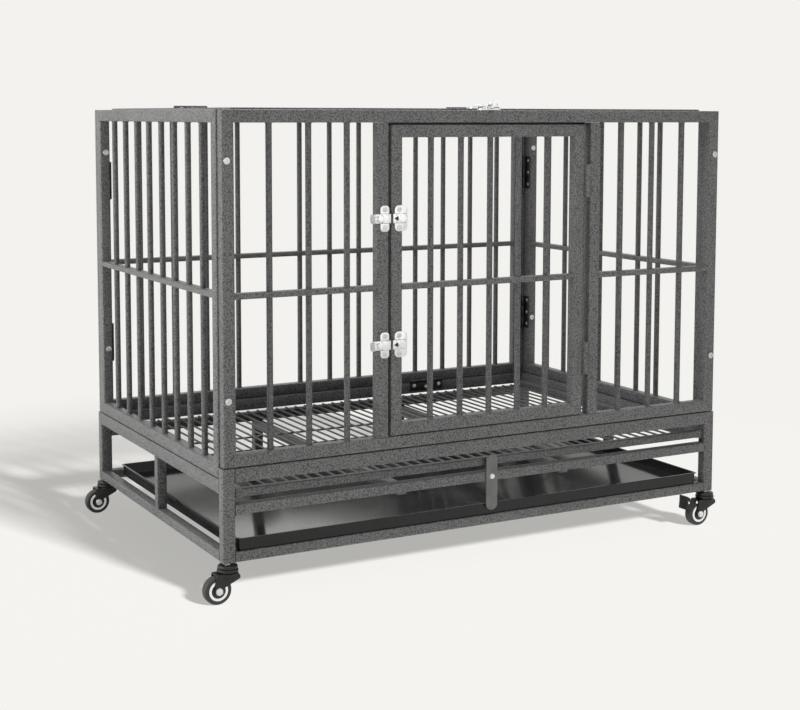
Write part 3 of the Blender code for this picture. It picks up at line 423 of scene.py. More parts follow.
lamps = {
    "leftSoftbox": {"at": (-3.2, 0.3, 1.5), "aim": (0, 0, 0.45), "size": (2.6, 2.2), "power": 75.0},
    "topSoftbox": {"at": (0.2, 0.2, 3.2), "aim": (0, 0, 0.4), "size": (3.0, 2.4), "power": 78.0},
    "frontSoftbox": {"at": (0.15, -1.7, 0.75), "aim": (0.05, 0, 0.2), "size": (1.9, 0.9), "power": 2.7},
}
shadowSun = {"turn": 15.0, "height": 32.0, "away": 4.0, "strength": 6.35, "spread": 7.0}


# Which objects a lamp lights: these alone, or all but these
def lampLights(lamp, objects, state):
    group = bpy.data.collections.new(lamp.name + "Reach")
    for made in objects:
        group.objects.link(made)
    for member in group.collection_objects:
        member.light_linking.link_state = state
    lamp.light_linking.receiver_collection = group


def addLamp(name, v):
    bpy.ops.object.light_add(type="AREA", location=v["at"])
    lamp = bpy.context.object
    lamp.name = name
    lamp.data.shape = "RECTANGLE"
    lamp.data.size, lamp.data.size_y = v["size"]
    lamp.data.energy = v["power"]
    lamp.visible_camera = False
    lamp.rotation_euler = (Vector(v["aim"]) - Vector(v["at"])).to_track_quat("-Z", "Y").to_euler()
    return lamp


# The photograph's soft shadow falls back and a little to the left
def addShadowSun(v, floor):
    turn, height = math.radians(v["turn"]), math.radians(v["height"])
    source = Vector((math.sin(turn) * math.cos(height), -math.cos(turn) * math.cos(height), math.sin(height)))
    bpy.ops.object.light_add(type="SUN", location=source * v["away"])
    sun = bpy.context.object
    sun.name = "shadowSun"
    sun.data.energy = v["strength"]
    sun.data.angle = math.radians(v["spread"])
    sun.rotation_euler = source.to_track_quat("Z", "Y").to_euler()
    lampLights(sun, [floor], "INCLUDE")


addCamera(camera)
addWorld(studio)
studioFloor = addFloor(studio)
softboxes = {lampName: addLamp(lampName, lampValues) for lampName, lampValues in lamps.items()}
addShadowSun(shadowSun, studioFloor)
bpy.context.scene.view_settings.view_transform = "Standard"
print("camera and studio set")


# Barred frames: four panels, door and lid
tubing = {"face": 0.0225, "bar": 0.0055, "barSides": 20, "barIn": 0.002, "crossHeight": 0.010, "crossIn": 0.0006,
          "seam": 0.0003, "weld": 0.0014}
planes = {"front": (0, 2, 1), "side": (1, 2, 0), "top": (0, 1, 2)}


def spaced(count, pitch, centre=0.0):
    return [centre + pitch * (i - (count - 1) / 2) for i in range(count)]


# Stiles, rails, posts, bars and crossbars of one frame, in the cage's own directions
def barredFrame(name, v, nodes, body):
    axes = planes[v["plane"]]
    level, rise = "xyz"[axes[0]], "xyz"[axes[1]]
    low, high = (Vector(corner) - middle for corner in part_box(nodes[0]))
    left, right = low[axes[0]], high[axes[0]]
    foot, head = low[axes[1]] + v.get("lift", 0.0), high[axes[1]]
    near, far = low[axes[2]], high[axes[2]]
    face, seam = tubing["face"], tubing["seam"]

    def spot(across, up, depth):
        point = [0.0, 0.0, 0.0]
        for axis, value in zip(axes, (across, up, depth)):
            point[axis] = value
        return point

    def member(a0, a1, u0, u1, along, inset=0.0):
        return beam(spot(a0, u0, near + inset), spot(a1, u1, far - inset), along)

    # Cuts an end at 45 degrees through an outer corner
    def mitred(made, a, u, slopeA, slopeU):
        pick(made, "FACE", lambda face: True)
        normal = Vector(spot(slopeA, slopeU, 0.0))
        bpy.ops.mesh.bisect(plane_co=Vector(spot(a, u, 0.0)) - normal * seam / 2, plane_no=normal, use_fill=True,
                            clear_outer=True)
        leave()

    parts = []
    for edge, inner in ((left, 1), (right, -1)):
        stile = member(*sorted((edge, edge + inner * face)), foot, head, rise)
        mitred(stile, edge, head, inner, 1)
        mitred(stile, edge, foot, inner, -1)
        parts.append(stile)
    for edge, inner in ((foot, 1), (head, -1)):
        rail = member(left, right, *sorted((edge, edge + inner * face)), level)
        mitred(rail, left, edge, -1, inner)
        mitred(rail, right, edge, 1, inner)
        parts.append(rail)
    ends = foot + face + seam, head - face - seam
    for place in v.get("posts", ()):
        parts.append(member(place - face / 2, place + face / 2, *ends, rise, 0.0002))
    if v.get("extraStile"):
        parts.append(member(right - 2 * face, right - face - seam, *ends, rise, 0.0003))

    barLow, barHigh = foot + face - tubing["barIn"], head - face + tubing["barIn"]
    depth = (near + far) / 2
    bar = disc(spot(0.0, (barLow + barHigh) / 2, depth), rise, tubing["bar"], barHigh - barLow, tubing["barSides"])
    welds = [ring(spot(0.0, up, depth), rise, tubing["bar"], tubing["weld"]) for up in (foot + face, head - face)]
    rods = copies(join([bar] + welds), [spot(place, 0.0, 0.0) for place in v["bars"]])

    edges = [left + face]
    for place in v.get("posts", ()):
        edges += [place - face / 2, place + face / 2]
    edges.append(right - face)
    bays = list(zip(edges[::2], edges[1::2]))
    if len(bays) == 3:
        bays = [bays[0], bays[2]]
    half = tubing["crossHeight"] / 2
    for start, end in bays:
        parts.append(beam(spot(start, v["crossbar"] - half, near + tubing["crossIn"]),
                          spot(end, v["crossbar"] + half, far - tubing["crossIn"]), level, 0.0015))
    settle(name + "Bars", rods, body, "shadedBarPaint")
    settle(name, parts, body, "tubePaint", nodes)


panel = {"plane": "front", "body": "cage_body", "crossbar": 0.525}
sidePanel = {**panel, "plane": "side", "bars": spaced(8, 0.068), "lift": 0.0015}
barredFrames = {
    "frontPanelFrame": {**panel, "nodes": ["front_panel"], "lift": 0.0012, "posts": (-0.2274, 0.2306),
                        "bars": spaced(3, 0.0738, -0.3677) + spaced(3, 0.0738, 0.3711)},
    "backPanelFrame": {**panel, "nodes": ["back_panel"], "lift": 0.0012, "bars": spaced(13, 0.0734),
                       "extraStile": True},
    "leftPanelFrame": {**sidePanel, "nodes": ["left_panel"]},
    "rightPanelFrame": {**sidePanel, "nodes": ["right_panel"]},
    "doorFrame": {**panel, "nodes": ["front_door"], "body": "door_body", "bars": spaced(5, 0.0627)},
    "lidFrame": {"plane": "top", "nodes": ["lid"], "body": "lid_body", "crossbar": 0.0, "bars": spaced(13, 0.0734)},
}
for frameName, frameValues in barredFrames.items():
    barredFrame(frameName, frameValues, frameValues["nodes"], frameValues["body"])

# A black strip behind the door's top rail: painted shade filling the gap above the door
doorGapShade = {"low": (-0.215, -0.3247, 0.807), "high": (0.218, -0.3232, 0.822)}
settle("doorStopStrip", [softBlock(doorGapShade["low"], doorGapShade["high"], sheetRim)], "cage_body", "blackSteel")
print("barred frames made")


# Base
base = {"halfX": 0.5335, "halfY": 0.345, "innerX": 0.5135, "innerY": 0.325, "low": 0.070, "lowRail": 0.018,
        "postTop": 0.2327, "sideTop": 0.212, "sideRail": 0.025, "midPost": (-0.015, 0.001), "ledge": 0.180,
        "ledgeWide": 0.020, "ledgeHigh": 0.030, "ledgeThick": 0.003, "face": 0.0225, "step": 0.0002, "gap": 0.0003}


def tubes(name, parts, nodes=()):
    settle(name, parts, "cage_body", "tubePaint", nodes)


def endFrame(name, side, v, nodes):
    outer, inner = side * v["halfX"], side * v["innerX"]
    posts = []
    for end, top in ((-1, v["postTop"]), (1, v["sideTop"])):
        x0, x1 = sorted((outer, outer - side * v["face"]))
        y0, y1 = sorted((end * v["halfY"], end * v["innerY"]))
        posts.append(beam((x0, y0, v["low"]), (x1, y1, top), "z"))
    tubes(name.replace("Frame", "FrontPost"), posts[:1])
    parts = posts[1:]
    left, right = sorted((outer - side * v["step"], inner))
    reach, railTop, railLow = v["innerY"] - v["gap"], v["low"] + v["lowRail"], v["sideTop"] - v["sideRail"]
    for low, high in ((v["low"] + v["step"], railTop), (railLow, v["sideTop"])):
        parts.append(beam((left, -reach, low), (right, reach, high), "y"))
    parts.append(beam((left + v["gap"], v["midPost"][0], railTop), (right - v["gap"], v["midPost"][1], railLow), "z",
                      thinTube))
    low = v["ledge"] - v["ledgeThick"]
    for wide, high in ((v["ledgeThick"], low + v["ledgeHigh"]), (v["ledgeWide"], v["ledge"])):
        near, far = sorted((inner, inner - side * wide))
        parts.append(softBlock((near, -reach, low), (far, reach, high), sheetRim))
    tubes(name, parts, nodes)


endFrame("leftBaseFrame", -1, base, ["base_left_frame"])
endFrame("rightBaseFrame", 1, base, ["base_right_frame"])


# Heights of the long rails and of the tubes between them
rails = {"frontTop": (0.208, 0.2327), "backTop": (0.187, 0.212), "floor": (0.070, 0.088), "frontMid": (0.152, 0.170),
         "backMid": (0.161, 0.1795), "floorTubes": (0.0702, 0.0878), "grateTubes": (0.143, 0.1608)}
crossTubes = {"x": 0.178, "half": 0.010, "postHalf": 0.0098, "postLow": (0.3252, 0.0883), "postHigh": (0.3448, 0.161)}


def longRail(end, which, v=base):
    low, high = rails[which]
    half = v["halfX"] - v["face"] - v["gap"]
    near, far = sorted((end * v["halfY"], end * v["innerY"]))
    return beam((-half, near, low), (half, far, high), "x")


# A pair of tubes or posts, one on each side of the middle
def pair(half, low, high, along, radius, v=crossTubes):
    return [beam((side * v["x"] - half, *low), (side * v["x"] + half, *high), along, radius) for side in (-1, 1)]


def crossTube(which, v=crossTubes):
    low, high = rails[which]
    return pair(v["half"], (-base["innerY"], low), (base["innerY"], high), "y", thinTube)


tubes("frontTopRail", [longRail(-1, "frontTop")], ["base_front_top_rail"])
tubes("backTopRail", [longRail(1, "backTop")], ["base_back_top_rail"])
tubes("frontFloorRail", [longRail(-1, "floor")], ["base_floor_frame"])
tubes("floorFrame", [longRail(1, "floor")] + crossTube("floorTubes"))
backPosts = pair(crossTubes["postHalf"], crossTubes["postLow"], crossTubes["postHigh"], "z", 0.0022)
tubes("frontMidRail", [longRail(-1, "frontMid")], ["base_grate_frame"])
tubes("grateFrame", [longRail(1, "backMid")] + crossTube("grateTubes") + backPosts)
print("base made")


# Floor grate
grate = {"halfX": 0.508, "front": -0.339, "back": 0.3247, "low": 0.1803, "high": 0.1953, "tube": 0.015,
         "wire": 0.002, "pitch": 0.0228, "barTop": 0.1833, "crossY": 0.090, "step": 0.0002}


def addGrate(v):
    inner, step = v["halfX"] - v["tube"], v["step"]
    parts = [beam((left, v["front"], v["low"]), (right, v["back"], v["high"]), "y", thinTube)
             for left, right in ((-v["halfX"], -inner), (inner, v["halfX"]))]
    parts.append(beam((-inner, v["front"] + step, v["low"] + step), (inner, v["front"] + v["tube"], v["high"] - step),
                      "x", thinTube))
    parts.append(softBlock((-inner, v["back"] - v["tube"], v["low"]), (inner, v["back"], v["barTop"]), 0.0006))
    settle("grateTubes", parts, "grate_body", "shadedBarPaint")
    level = v["barTop"] + v["wire"] / 2
    near, far = v["front"] + v["tube"] - 0.002, v["back"] - 0.0004
    wire = disc((0, (near + far) / 2, level), "y", v["wire"], far - near, 10)
    count = int((2 * inner - v["pitch"]) / v["pitch"]) + 1
    wires = copies(wire, [(place, 0, 0) for place in spaced(count, v["pitch"])])
    wires.append(disc((0, v["crossY"], v["barTop"] - v["wire"]), "x", v["wire"], 2 * inner, 10))
    settle("grateWires", wires, "grate_body", "shadedWirePaint", ["floor_grate"])


addGrate(grate)


# Tray
tray = {"low": (-0.507, -0.344, 0.0883), "high": (0.495, 0.280, 0.1103), "rim": 0.0022, "sheet": 0.0015,
        "corner": 0.007, "draft": 0.0006}


def addTray(v):
    low, high = Vector(v["low"]), Vector(v["high"])
    deselect()
    centre = ((low.x + high.x) / 2, (low.y + high.y) / 2, low.z)
    bpy.ops.mesh.primitive_plane_add(size=1, location=centre)
    width, depth, wall = high.x - low.x, high.y - low.y, high.z - low.z - v["sheet"]
    inset = v["rim"] + v["draft"]
    bpy.context.object.scale = (width - 2 * inset, depth - 2 * inset, 1)
    made = applied()
    pick(made, "VERT", lambda vertex: True)
    bpy.ops.mesh.bevel(offset=v["corner"] - v["draft"], segments=8, affect="VERTICES")
    steps = [(v["rim"], wall), (0.0, 0.0), (0.0, v["sheet"]), (v["rim"] + v["sheet"], 0.0),
             (v["rim"] + v["sheet"] + v["draft"], -wall)]
    for target, lift in steps:
        bpy.ops.mesh.extrude_region_move(TRANSFORM_OT_translate={"value": (0, 0, lift)})
        scale = ((width - 2 * target) / (width - 2 * inset), (depth - 2 * target) / (depth - 2 * inset), 1)
        bpy.ops.transform.resize(value=scale, center_override=centre)
        inset = target
    bpy.ops.mesh.select_all(action="SELECT")
    bpy.ops.mesh.normals_make_consistent(inside=False)
    leave()
    soft = made.modifiers.new("rims", "BEVEL")
    soft.width, soft.segments, soft.limit_method, soft.angle_limit = 0.0005, 3, "ANGLE", math.radians(40)
    join([made])
    bpy.ops.object.modifier_apply(modifier="rims")
    settle("trayPan", [made], "tray_body", "trayGloss", ["tray"])


addTray(tray)
print("grate and tray made")


# Screws with a cross slot, turned to face any way
screw = {"head": 0.0048, "high": 0.0014, "slot": 0.0009, "slotLong": 0.0026, "turned": 0.4}


# A domed head with a cross cut into it; outward is the direction it faces
def screwHead(outward, size, v=screw):
    high = v["high"] * size
    head = disc((0, 0, high / 2), "z", v["head"] * size, high, 20, high * 0.45, 3)
    for across, along in ((v["slotLong"], v["slot"] / 2), (v["slot"] / 2, v["slotLong"])):
        cutOut(head, cube((-across * size, -along * size, high * 0.45), (across * size, along * size, high * 2)))
    turn = Vector(outward).to_track_quat("Z", "Y").to_matrix()
    head.data.transform(turn.to_4x4() @ Matrix.Rotation(v["turned"], 4, "Z"))
    return head


def screwSet(name, spots, outward, body, size=1.0, finish="screwSteel"):
    settle(name, copies(screwHead(outward, size), spots), body, finish, angle=30)


# Slide bolt latches
latch = {"plate": 0.0018, "high": 0.046, "guideWide": 0.0175, "keeperWide": 0.0256, "setback": 0.006,
         "corner": 0.006, "bridgeHigh": 0.0188, "roof": 0.0065, "boltWide": 0.0165,
         "boltThick": 0.0026, "boltLong": 0.040, "tipGap": 0.0019, "tab": 0.018, "tabCorner": 0.0065, "hole": 0.003,
         "knob": 0.0064, "knobHigh": 0.0038, "knobUp": 0.0089, "knobBack": 0.0165, "arm": (0.0070, 0.0082),
         "armHalf": 0.003, "screwOut": 0.0162, "lift": 0.0003, "dome": 0.0080, "domeIn": 0.0146, "slack": 0.0004,
         "reach": 0.0119,
         "mouth": ((-0.0024, -0.0006), (0.0048, -0.0044), (0.0054, 0.0), (0.0048, 0.0044), (-0.0024, 0.0006))}


# Plate in its own X and Y with rounded corners and softened rims
def roundedPlate(low, high, corner, thick, steps=5):
    made = beam((*low, thick[0]), (*high, thick[1]), "z", corner, steps)
    top, points = thick[1] - tiny, made.data.vertices
    roundEdges(made, lambda edge: abs(run(made, edge).z) < tiny and points[edge.vertices[0]].co.z > top, sheetRim, 2)
    return made


# A pressed hump: its foot is wider than its roof
def bridge(low, high, thick, flare=0.0018):
    made = cube((*low, thick[0]), (*high, thick[1]))
    pick(made, "FACE", lambda face: face.normal.z > 0.9)
    bpy.ops.transform.resize(value=(1 - 2 * flare / (high[0] - low[0]), 1 - 2 * flare / (high[1] - low[1]), 1),
                             center_override=((low[0] + high[0]) / 2, (low[1] + high[1]) / 2, thick[1]))
    leave()
    roundEdges(made, lambda edge: True, 0.0009, 3)
    return made


# Guide, bolt and keeper built flat at the world's origin, then turned into place
def slideLatch(prefix, turn, origin, gap, rise, bodies, node, v=latch):
    base0 = v["lift"]
    tail = gap - v["tipGap"] - v["boltLong"]
    boltLow = rise + 2 * v["lift"]
    boltTop = boltLow + v["boltThick"]
    half, hump, wide = v["high"] / 2, v["bridgeHigh"] / 2, v["boltWide"] / 2
    knobAt, near, roof = tail + v["knobBack"], gap + v["setback"], rise + v["roof"]

    guide = [roundedPlate((-v["guideWide"], -half), (0, half), v["corner"], (base0, base0 + v["plate"])),
             bridge((-v["guideWide"] + 0.0008, -hump), (-0.0008, hump), (base0 + 0.001, roof))]
    keeper = [roundedPlate((near, -half), (near + v["keeperWide"], half), v["corner"] + 0.002,
                           (rise + base0, rise + base0 + v["plate"])),
              bridge((near + 0.001, -hump), (near + v["keeperWide"] - 0.003, hump), (rise + base0 + 0.001, roof)),
              disc((near + v["domeIn"], 0, roof - 0.0006), "z", v["dome"], 0.0032, 32, 0.0015, 5),
              bridge((gap + 0.0006, -wide - 0.0005), (near + 0.003, wide + 0.0005),
                     (boltTop + 0.0006, roof - v["slack"]), 0.0008)]
    strip = softBlock((tail, -wide, boltLow), (gap - v["tipGap"], wide, boltTop), 0.0006)
    ear = roundedPlate((boltLow + 0.0002, -wide), (v["tab"], wide), v["tabCorner"], (0, v["boltThick"]))
    ear.data.transform(Matrix(((0, 0, 1, tail), (0, 1, 0, 0), (1, 0, 0, 0), (0, 0, 0, 1))))  # stands it upright
    cutOut(ear, disc((tail, 0, v["tab"] - wide), "x", v["hole"], 0.02, 20))
    pick(ear, "FACE", lambda face: True)
    bpy.ops.mesh.normals_make_consistent(inside=False)
    leave()
    armLow, armHigh = v["arm"]
    knob = [disc((knobAt, 0, rise + v["knobUp"]), "z", v["knob"], v["knobHigh"], 28, 0.0016, 4),
            softBlock((tail + 0.0002, -v["armHalf"], rise + armLow), (knobAt, v["armHalf"], rise + armHigh), 0.0003)]

    # The bolt's channel, right through the guide and as deep into the keeper as the bolt reaches
    side, low, top = wide + v["slack"], boltLow - v["slack"], boltTop + v["slack"]
    for made in guide:
        cutOut(made, cube((-0.03, -side, low), (0.01, side, top)))
    for made in keeper[:2]:
        cutOut(made, cube((gap - 0.01, -side, low), (gap + v["reach"], side, top)))

    def placed(parts):
        for part in parts:
            part.data.transform(Matrix.Translation(origin) @ turn.to_4x4())
        return parts

    mouth = [(near + along, across) for along, across in v["mouth"]]
    # A thin black sheet on the keeper's roof in the outline of the padlock hole: painted shade where the hole shows
    # dark
    hole = plateFrom(mouth, "z", roof - 0.0004, roof + 0.0003, 0.0001)
    settle(prefix + "PadlockHole", placed([hole]), bodies[2], "blackSteel")
    settle(prefix + "Guide", placed(guide), bodies[0], "zinc", [node + "_guide"])
    settle(prefix + "Bolt", placed([strip, ear] + knob), bodies[1], "zinc", [node + "_bolt"])
    settle(prefix + "Keeper", placed(keeper), bodies[2], "zinc", [node + "_keeper"])
    outward = turn @ Vector((0, 0, 1))
    for key, across, lift, body in (("GuideScrews", -v["guideWide"] / 2, 0.0, bodies[0]),
                                    ("KeeperScrews", near + v["keeperWide"] * 0.36, rise, bodies[2])):
        spots = [Vector(origin) + turn @ Vector((across, side * v["screwOut"], lift + base0 + v["plate"] - 0.0002))
                 for side in (-1, 1)]
        screwSet(prefix + key, spots, outward, body)


frontTurn = Matrix(((1, 0, 0), (0, 0, -1), (0, 1, 0)))
topTurn = Matrix(((0, -1, 0), (1, 0, 0), (0, 0, 1)))
postEdge = barredFrames["frontPanelFrame"]["posts"][0] + tubing["face"] / 2
for level, height in (("upper", 0.648), ("lower", 0.423)):
    slideLatch(level + "Latch", frontTurn, (postEdge, -0.345, height), 0.005, 0.0,
               ("cage_body", level + "_bolt_body", "door_body"), "door_latch_" + level)
slideLatch("lidLatch", topTurn, (-0.003, -0.325, 0.839), 0.007, 0.003, ("cage_body", "lid_bolt_body", "lid_body"),
           "lid_latch")
print("latches made")


# Weld-on door hinges
barrel = {"x": 0.21235, "y": -0.345, "radius": 0.0058, "half": 0.031, "splits": {"upper": 0.707, "lower": 0.367},
          "doorEdge": 0.20535, "postEdge": 0.21935, "play": 0.00015}


def doorHinge(place, split, v):
    for part, low, high, edge, body in (("door", split + v["play"], split + v["half"], v["doorEdge"], "door_body"),
                                        ("post", split - v["half"], split - v["play"], v["postEdge"], "cage_body")):
        knuckle = upright(v["x"], v["y"], low, high, v["radius"], 28, 0.0008, 2)
        foot = sorted((edge, v["x"]))
        web = softBlock((foot[0], v["y"] + 0.0006, low + 0.001), (foot[1], v["y"] + 0.005, high - 0.001), 0.0008)
        settle(f"{place}Hinge{part.capitalize()}Half", [knuckle, web], body, "tubePaint",
               [f"door_hinge_{place}_{part}_half"])


for place, split in barrel["splits"].items():
    doorHinge(place, split, barrel)

# Butt hinges of the lid and the rear corners
butt = {"radius": 0.0038, "plate": 0.0015, "clear": 0.0042, "lidLong": 0.073, "lidLeaf": 0.0205, "cornerLong": 0.076,
        "cornerLeaf": 0.0195, "gap": 0.0003, "play": 0.0006, "lap": 0.001}


# Ends of one of the three equal lengths of a hinge, less the play at each end
def third(start, length, i, play=butt["play"]):
    return start + length * i / 3 + play, start + length * (i + 1) / 3 - play


def knuckles(start, length, along, centre, which, v=butt):
    made = []
    for i in which:
        low, high = third(start, length, i, v["gap"] / 2)
        spot = list(centre)
        spot["xyz".index(along)] = (low + high) / 2
        made.append(disc(spot, along, v["radius"], high - low, 20, 0.0004, 2))
    return made


lidPin = {"y": 0.3215, "z": 0.8448, "backTop": 0.8393, "lidTop": 0.8423, "under": 0.002, "screwOut": 0.0128,
          "sunk": 0.0001, "screw": 0.7}


def lidHinge(name, x, v=butt, pin=lidPin):
    axisY, axisZ, top, lidTop = pin["y"], pin["z"], pin["backTop"], pin["lidTop"]
    start, end = x - v["lidLong"] / 2, x + v["lidLong"] / 2
    fixed = [softBlock((start, axisY + v["clear"], top), (end, axisY + v["lidLeaf"], top + v["plate"]), sheetRim)]
    for i in (0, 2):
        low, high = third(start, v["lidLong"], i)
        far = axisY + v["clear"] + v["lap"]
        fixed.append(softBlock((low, axisY + pin["under"], top), (high, far, axisZ), sheetRim))
    fixed += knuckles(start, v["lidLong"], "x", (0, axisY, axisZ), (0, 2))
    low, high = third(start, v["lidLong"], 1)
    leafTop = lidTop + v["plate"]
    moving = [softBlock((start, axisY - v["lidLeaf"], lidTop), (end, axisY - v["clear"], leafTop), sheetRim),
              softBlock((low, axisY - v["clear"] - v["lap"], lidTop), (high, axisY - pin["under"], leafTop), sheetRim)]
    moving += knuckles(start, v["lidLong"], "x", (0, axisY, axisZ), (1,))
    settle(f"{name}LidHingeFixedLeaf", fixed, "cage_body", "blackSteel", [f"lid_hinge_{name}_fixed_leaf"])
    settle(f"{name}LidHingeMovingLeaf", moving, "lid_body", "blackSteel", [f"lid_hinge_{name}_moving_leaf"])
    for part, hand, height, body in (("Back", 1, top, "cage_body"), ("Lid", -1, lidTop, "lid_body")):
        spots = [(x + along * v["lidLong"] / 3, axisY + hand * pin["screwOut"], height + v["plate"] - pin["sunk"])
                 for along in (-1, 0, 1)]
        screwSet(f"{name}LidHinge{part}Screws", spots, (0, 0, 1), body, pin["screw"])


lidHinge("left", -0.331)
lidHinge("right", 0.331)


# The left side's rear leaf is screwed to the end of the back panel, the right one's to the panel's face
corner = {"face": 0.5135, "inset": 0.0045, "rail": 0.325, "lift": 0.0003, "rear": (0.3232, 0.3247), "wall": -0.5082,
          "end": (0.3253, 0.3444), "tongueEnd": 0.3263, "screwOut": 0.0125, "screwUp": (0.13, 0.5, 0.87),
          "endScrew": (-0.5067, 0.335), "screw": 0.8}


def cornerHinge(hand, side, level, centre, v=butt, c=corner):
    axisX, axisY = side * (c["face"] - c["inset"]), c["rail"] - c["inset"]
    low, high = centre - v["cornerLong"] / 2, centre + v["cornerLong"] / 2
    back = side * (c["face"] - c["lift"] - v["plate"])
    near, far = sorted((side * (c["face"] - c["lift"]), back))
    sideLeaf = [softBlock((near, axisY - v["cornerLeaf"], low), (far, axisY - v["clear"], high), sheetRim)]
    for i in (0, 2):
        foot, head = third(low, v["cornerLong"], i)
        sideLeaf.append(softBlock((near, axisY - v["clear"] - v["lap"], foot), (far, axisY, head), sheetRim))
    sideLeaf += knuckles(low, v["cornerLong"], "z", (axisX, axisY, 0), (0, 2))
    foot, head = third(low, v["cornerLong"], 1)
    rear, rearTop = c["rear"]
    wall, wallTop = c["wall"], c["wall"] + v["plate"]
    if side > 0:
        rearLow, rearHigh = (axisX - v["cornerLeaf"], rear, low), (axisX - v["clear"], rearTop, high)
        tongue = ((axisX - v["clear"] - v["lap"], rear, foot), (axisX, rearTop, head))
    else:
        rearLow, rearHigh = (wall, c["end"][0], low), (wallTop, c["end"][1], high)
        tongue = ((wall + 0.0001, axisY, foot), (wallTop, c["tongueEnd"], head))
    rearLeaf = [softBlock(rearLow, rearHigh, sheetRim), softBlock(*tongue, sheetRim)]
    rearLeaf += knuckles(low, v["cornerLong"], "z", (axisX, axisY, 0), (1,))
    name, node = f"{hand}Corner{level.capitalize()}", f"corner_hinge_{hand}_{level}"
    settle(name + "SideLeaf", sideLeaf, "cage_body", "blackSteel", [node + "_side_leaf"])
    settle(name + "RearLeaf", rearLeaf, "cage_body", "blackSteel", [node + "_rear_leaf"])
    inSide = (back, axisY - c["screwOut"]), (-side, 0, 0)
    inRear = ((axisX - c["screwOut"], rear), (0, -1, 0)) if side > 0 else (c["endScrew"], (1, 0, 0))
    for part, (spot, outward) in (("Side", inSide), ("Rear", inRear)):
        spots = [(*spot, low + v["cornerLong"] * up) for up in c["screwUp"]]
        screwSet(f"{name}{part}Screws", spots, outward, "cage_body", c["screw"])


for hand, side in (("left", -1), ("right", 1)):
    for level, centre in (("upper", 0.695), ("lower", 0.361)):
        cornerHinge(hand, side, level, centre)

# The butt hinge under the back panel: its lower leaf is screwed to the inside of the rear rail
backHinge = {"x": 0.244, "long": 0.087, "face": 0.325, "low": 0.1935, "high": 0.2115, "plate": 0.0015, "pinY": 0.3216,
             "pinZ": 0.2158, "under": 0.0018, "lap": 0.001,
             "screws": ((-0.032, 0.2048), (0.0, 0.2006), (0.033, 0.2048)), "size": 0.95}


def backRailHinge(v):
    start, end = v["x"] - v["long"] / 2, v["x"] + v["long"] / 2
    parts = [softBlock((start, v["face"] - v["plate"], v["low"]), (end, v["face"], v["high"]), sheetRim)]
    for i in (0, 2):
        left, right = third(start, v["long"], i)
        parts.append(softBlock((left, v["pinY"] + v["under"], v["high"] - v["lap"]), (right, v["face"], v["pinZ"]),
                               sheetRim))
    parts += knuckles(start, v["long"], "x", (0, v["pinY"], v["pinZ"]), (0, 1, 2))
    settle("backRailHinge", parts, "cage_body", "blackSteel")
    spots = [(v["x"] + along, v["face"] - v["plate"], height) for along, height in v["screws"]]
    screwSet("backRailHingeScrews", spots, (0, -1, 0), "cage_body", v["size"], "zinc")


backRailHinge(backHinge)
print("hinges made")


# Turn plate and its bolt
turnPlate = {"x": 0.001, "y": -0.3453, "pivot": 0.161, "wide": 0.024, "up": 0.0413, "down": 0.0635, "thick": 0.003,
             "flat": 0.92, "steps": 16}


def addTurnPlate(v):
    half, rise = v["wide"] / 2, v["wide"] / 2 * v["flat"]
    points = []
    for centre, start in ((v["pivot"] + v["up"] - rise, 0), (v["pivot"] - v["down"] + rise, 180)):
        for i in range(v["steps"] + 1):
            angle = math.radians(start + 180 * i / v["steps"])
            points.append((v["x"] + half * math.cos(angle), centre + rise * math.sin(angle)))
    plate = plateFrom(points, "y", v["y"] - v["thick"], v["y"], 0.0005)
    settle("turnPlateSteel", [plate], "turn_plate_body", "plateGrey", ["turn_plate"])
    front = v["y"] - v["thick"]
    head = disc((v["x"], front - 0.0017, v["pivot"]), "y", 0.0044, 0.0028, 6, 0.0005, 2)
    washer = disc((v["x"], front - 0.0002, v["pivot"]), "y", 0.0050, 0.0008, 28, 0.0002, 1)
    settle("turnPlateBoltHead", [head, washer], "cage_body", "zinc", ["turn_plate_bolt"], angle=30)


addTurnPlate(turnPlate)


# Bolts that hold the panels together
panelBolts = {"front": -0.345, "sideStile": 0.3022, "x": 0.522, "heights": (0.753, 0.348), "size": 1.25}
for boltName, boltY in (("frontStileBolts", panelBolts["front"]), ("sideStileBolts", panelBolts["sideStile"])):
    boltSpots = [(side * panelBolts["x"], boltY, height) for side in (-1, 1) for height in panelBolts["heights"]]
    screwSet(boltName, boltSpots, (0, -1, 0), "cage_body", panelBolts["size"])
print("plate and bolts made")


# Casters
wheel = {"radius": 0.0245, "wide": 0.018, "shoulder": 0.0045, "bandOut": 0.0172, "bandIn": 0.0127, "boss": 0.0066}
fork = {"trail": 0.020, "legIn": 0.010, "leg": 0.0025, "crownLow": 0.0502, "crown": 0.0530, "crownRadius": 0.0187,
        "race": 0.0187, "raceTop": 0.0596, "dome": 0.0176, "domeTop": 0.0664, "eye": 0.0080, "heel": 0.0050,
        "noseRound": 0.0070}
axle = {"pin": 0.003, "nut": 0.0063, "nutHigh": 0.0032, "washer": 0.0064, "tip": 0.0030}
stem = {"collar": 0.0055, "collarLow": 0.0650, "collarHigh": 0.0699, "pin": 0.0045, "pinHigh": 0.085, "rivet": 0.0065,
        "rivetLow": 0.0485}


def arc(centre, radius, start, end, steps):
    angles = (math.radians(start + (end - start) * i / steps) for i in range(steps + 1))
    return [(centre[0] + radius * math.cos(a), centre[1] + radius * math.sin(a)) for a in angles]


def casterStem(prefix, node, x, y, v):
    parts = [upright(x, y, v["collarLow"], v["collarHigh"], v["collar"], 32, 0.0008, 3),
             upright(x, y, v["rivetLow"], v["pinHigh"], v["pin"], 20),
             disc((x, y, v["rivetLow"] + 0.0007), "z", v["rivet"], 0.0014, 24, 0.0004, 2)]
    settle(prefix + "Stem", parts, "cage_body", "zinc", [node + "_stem"])


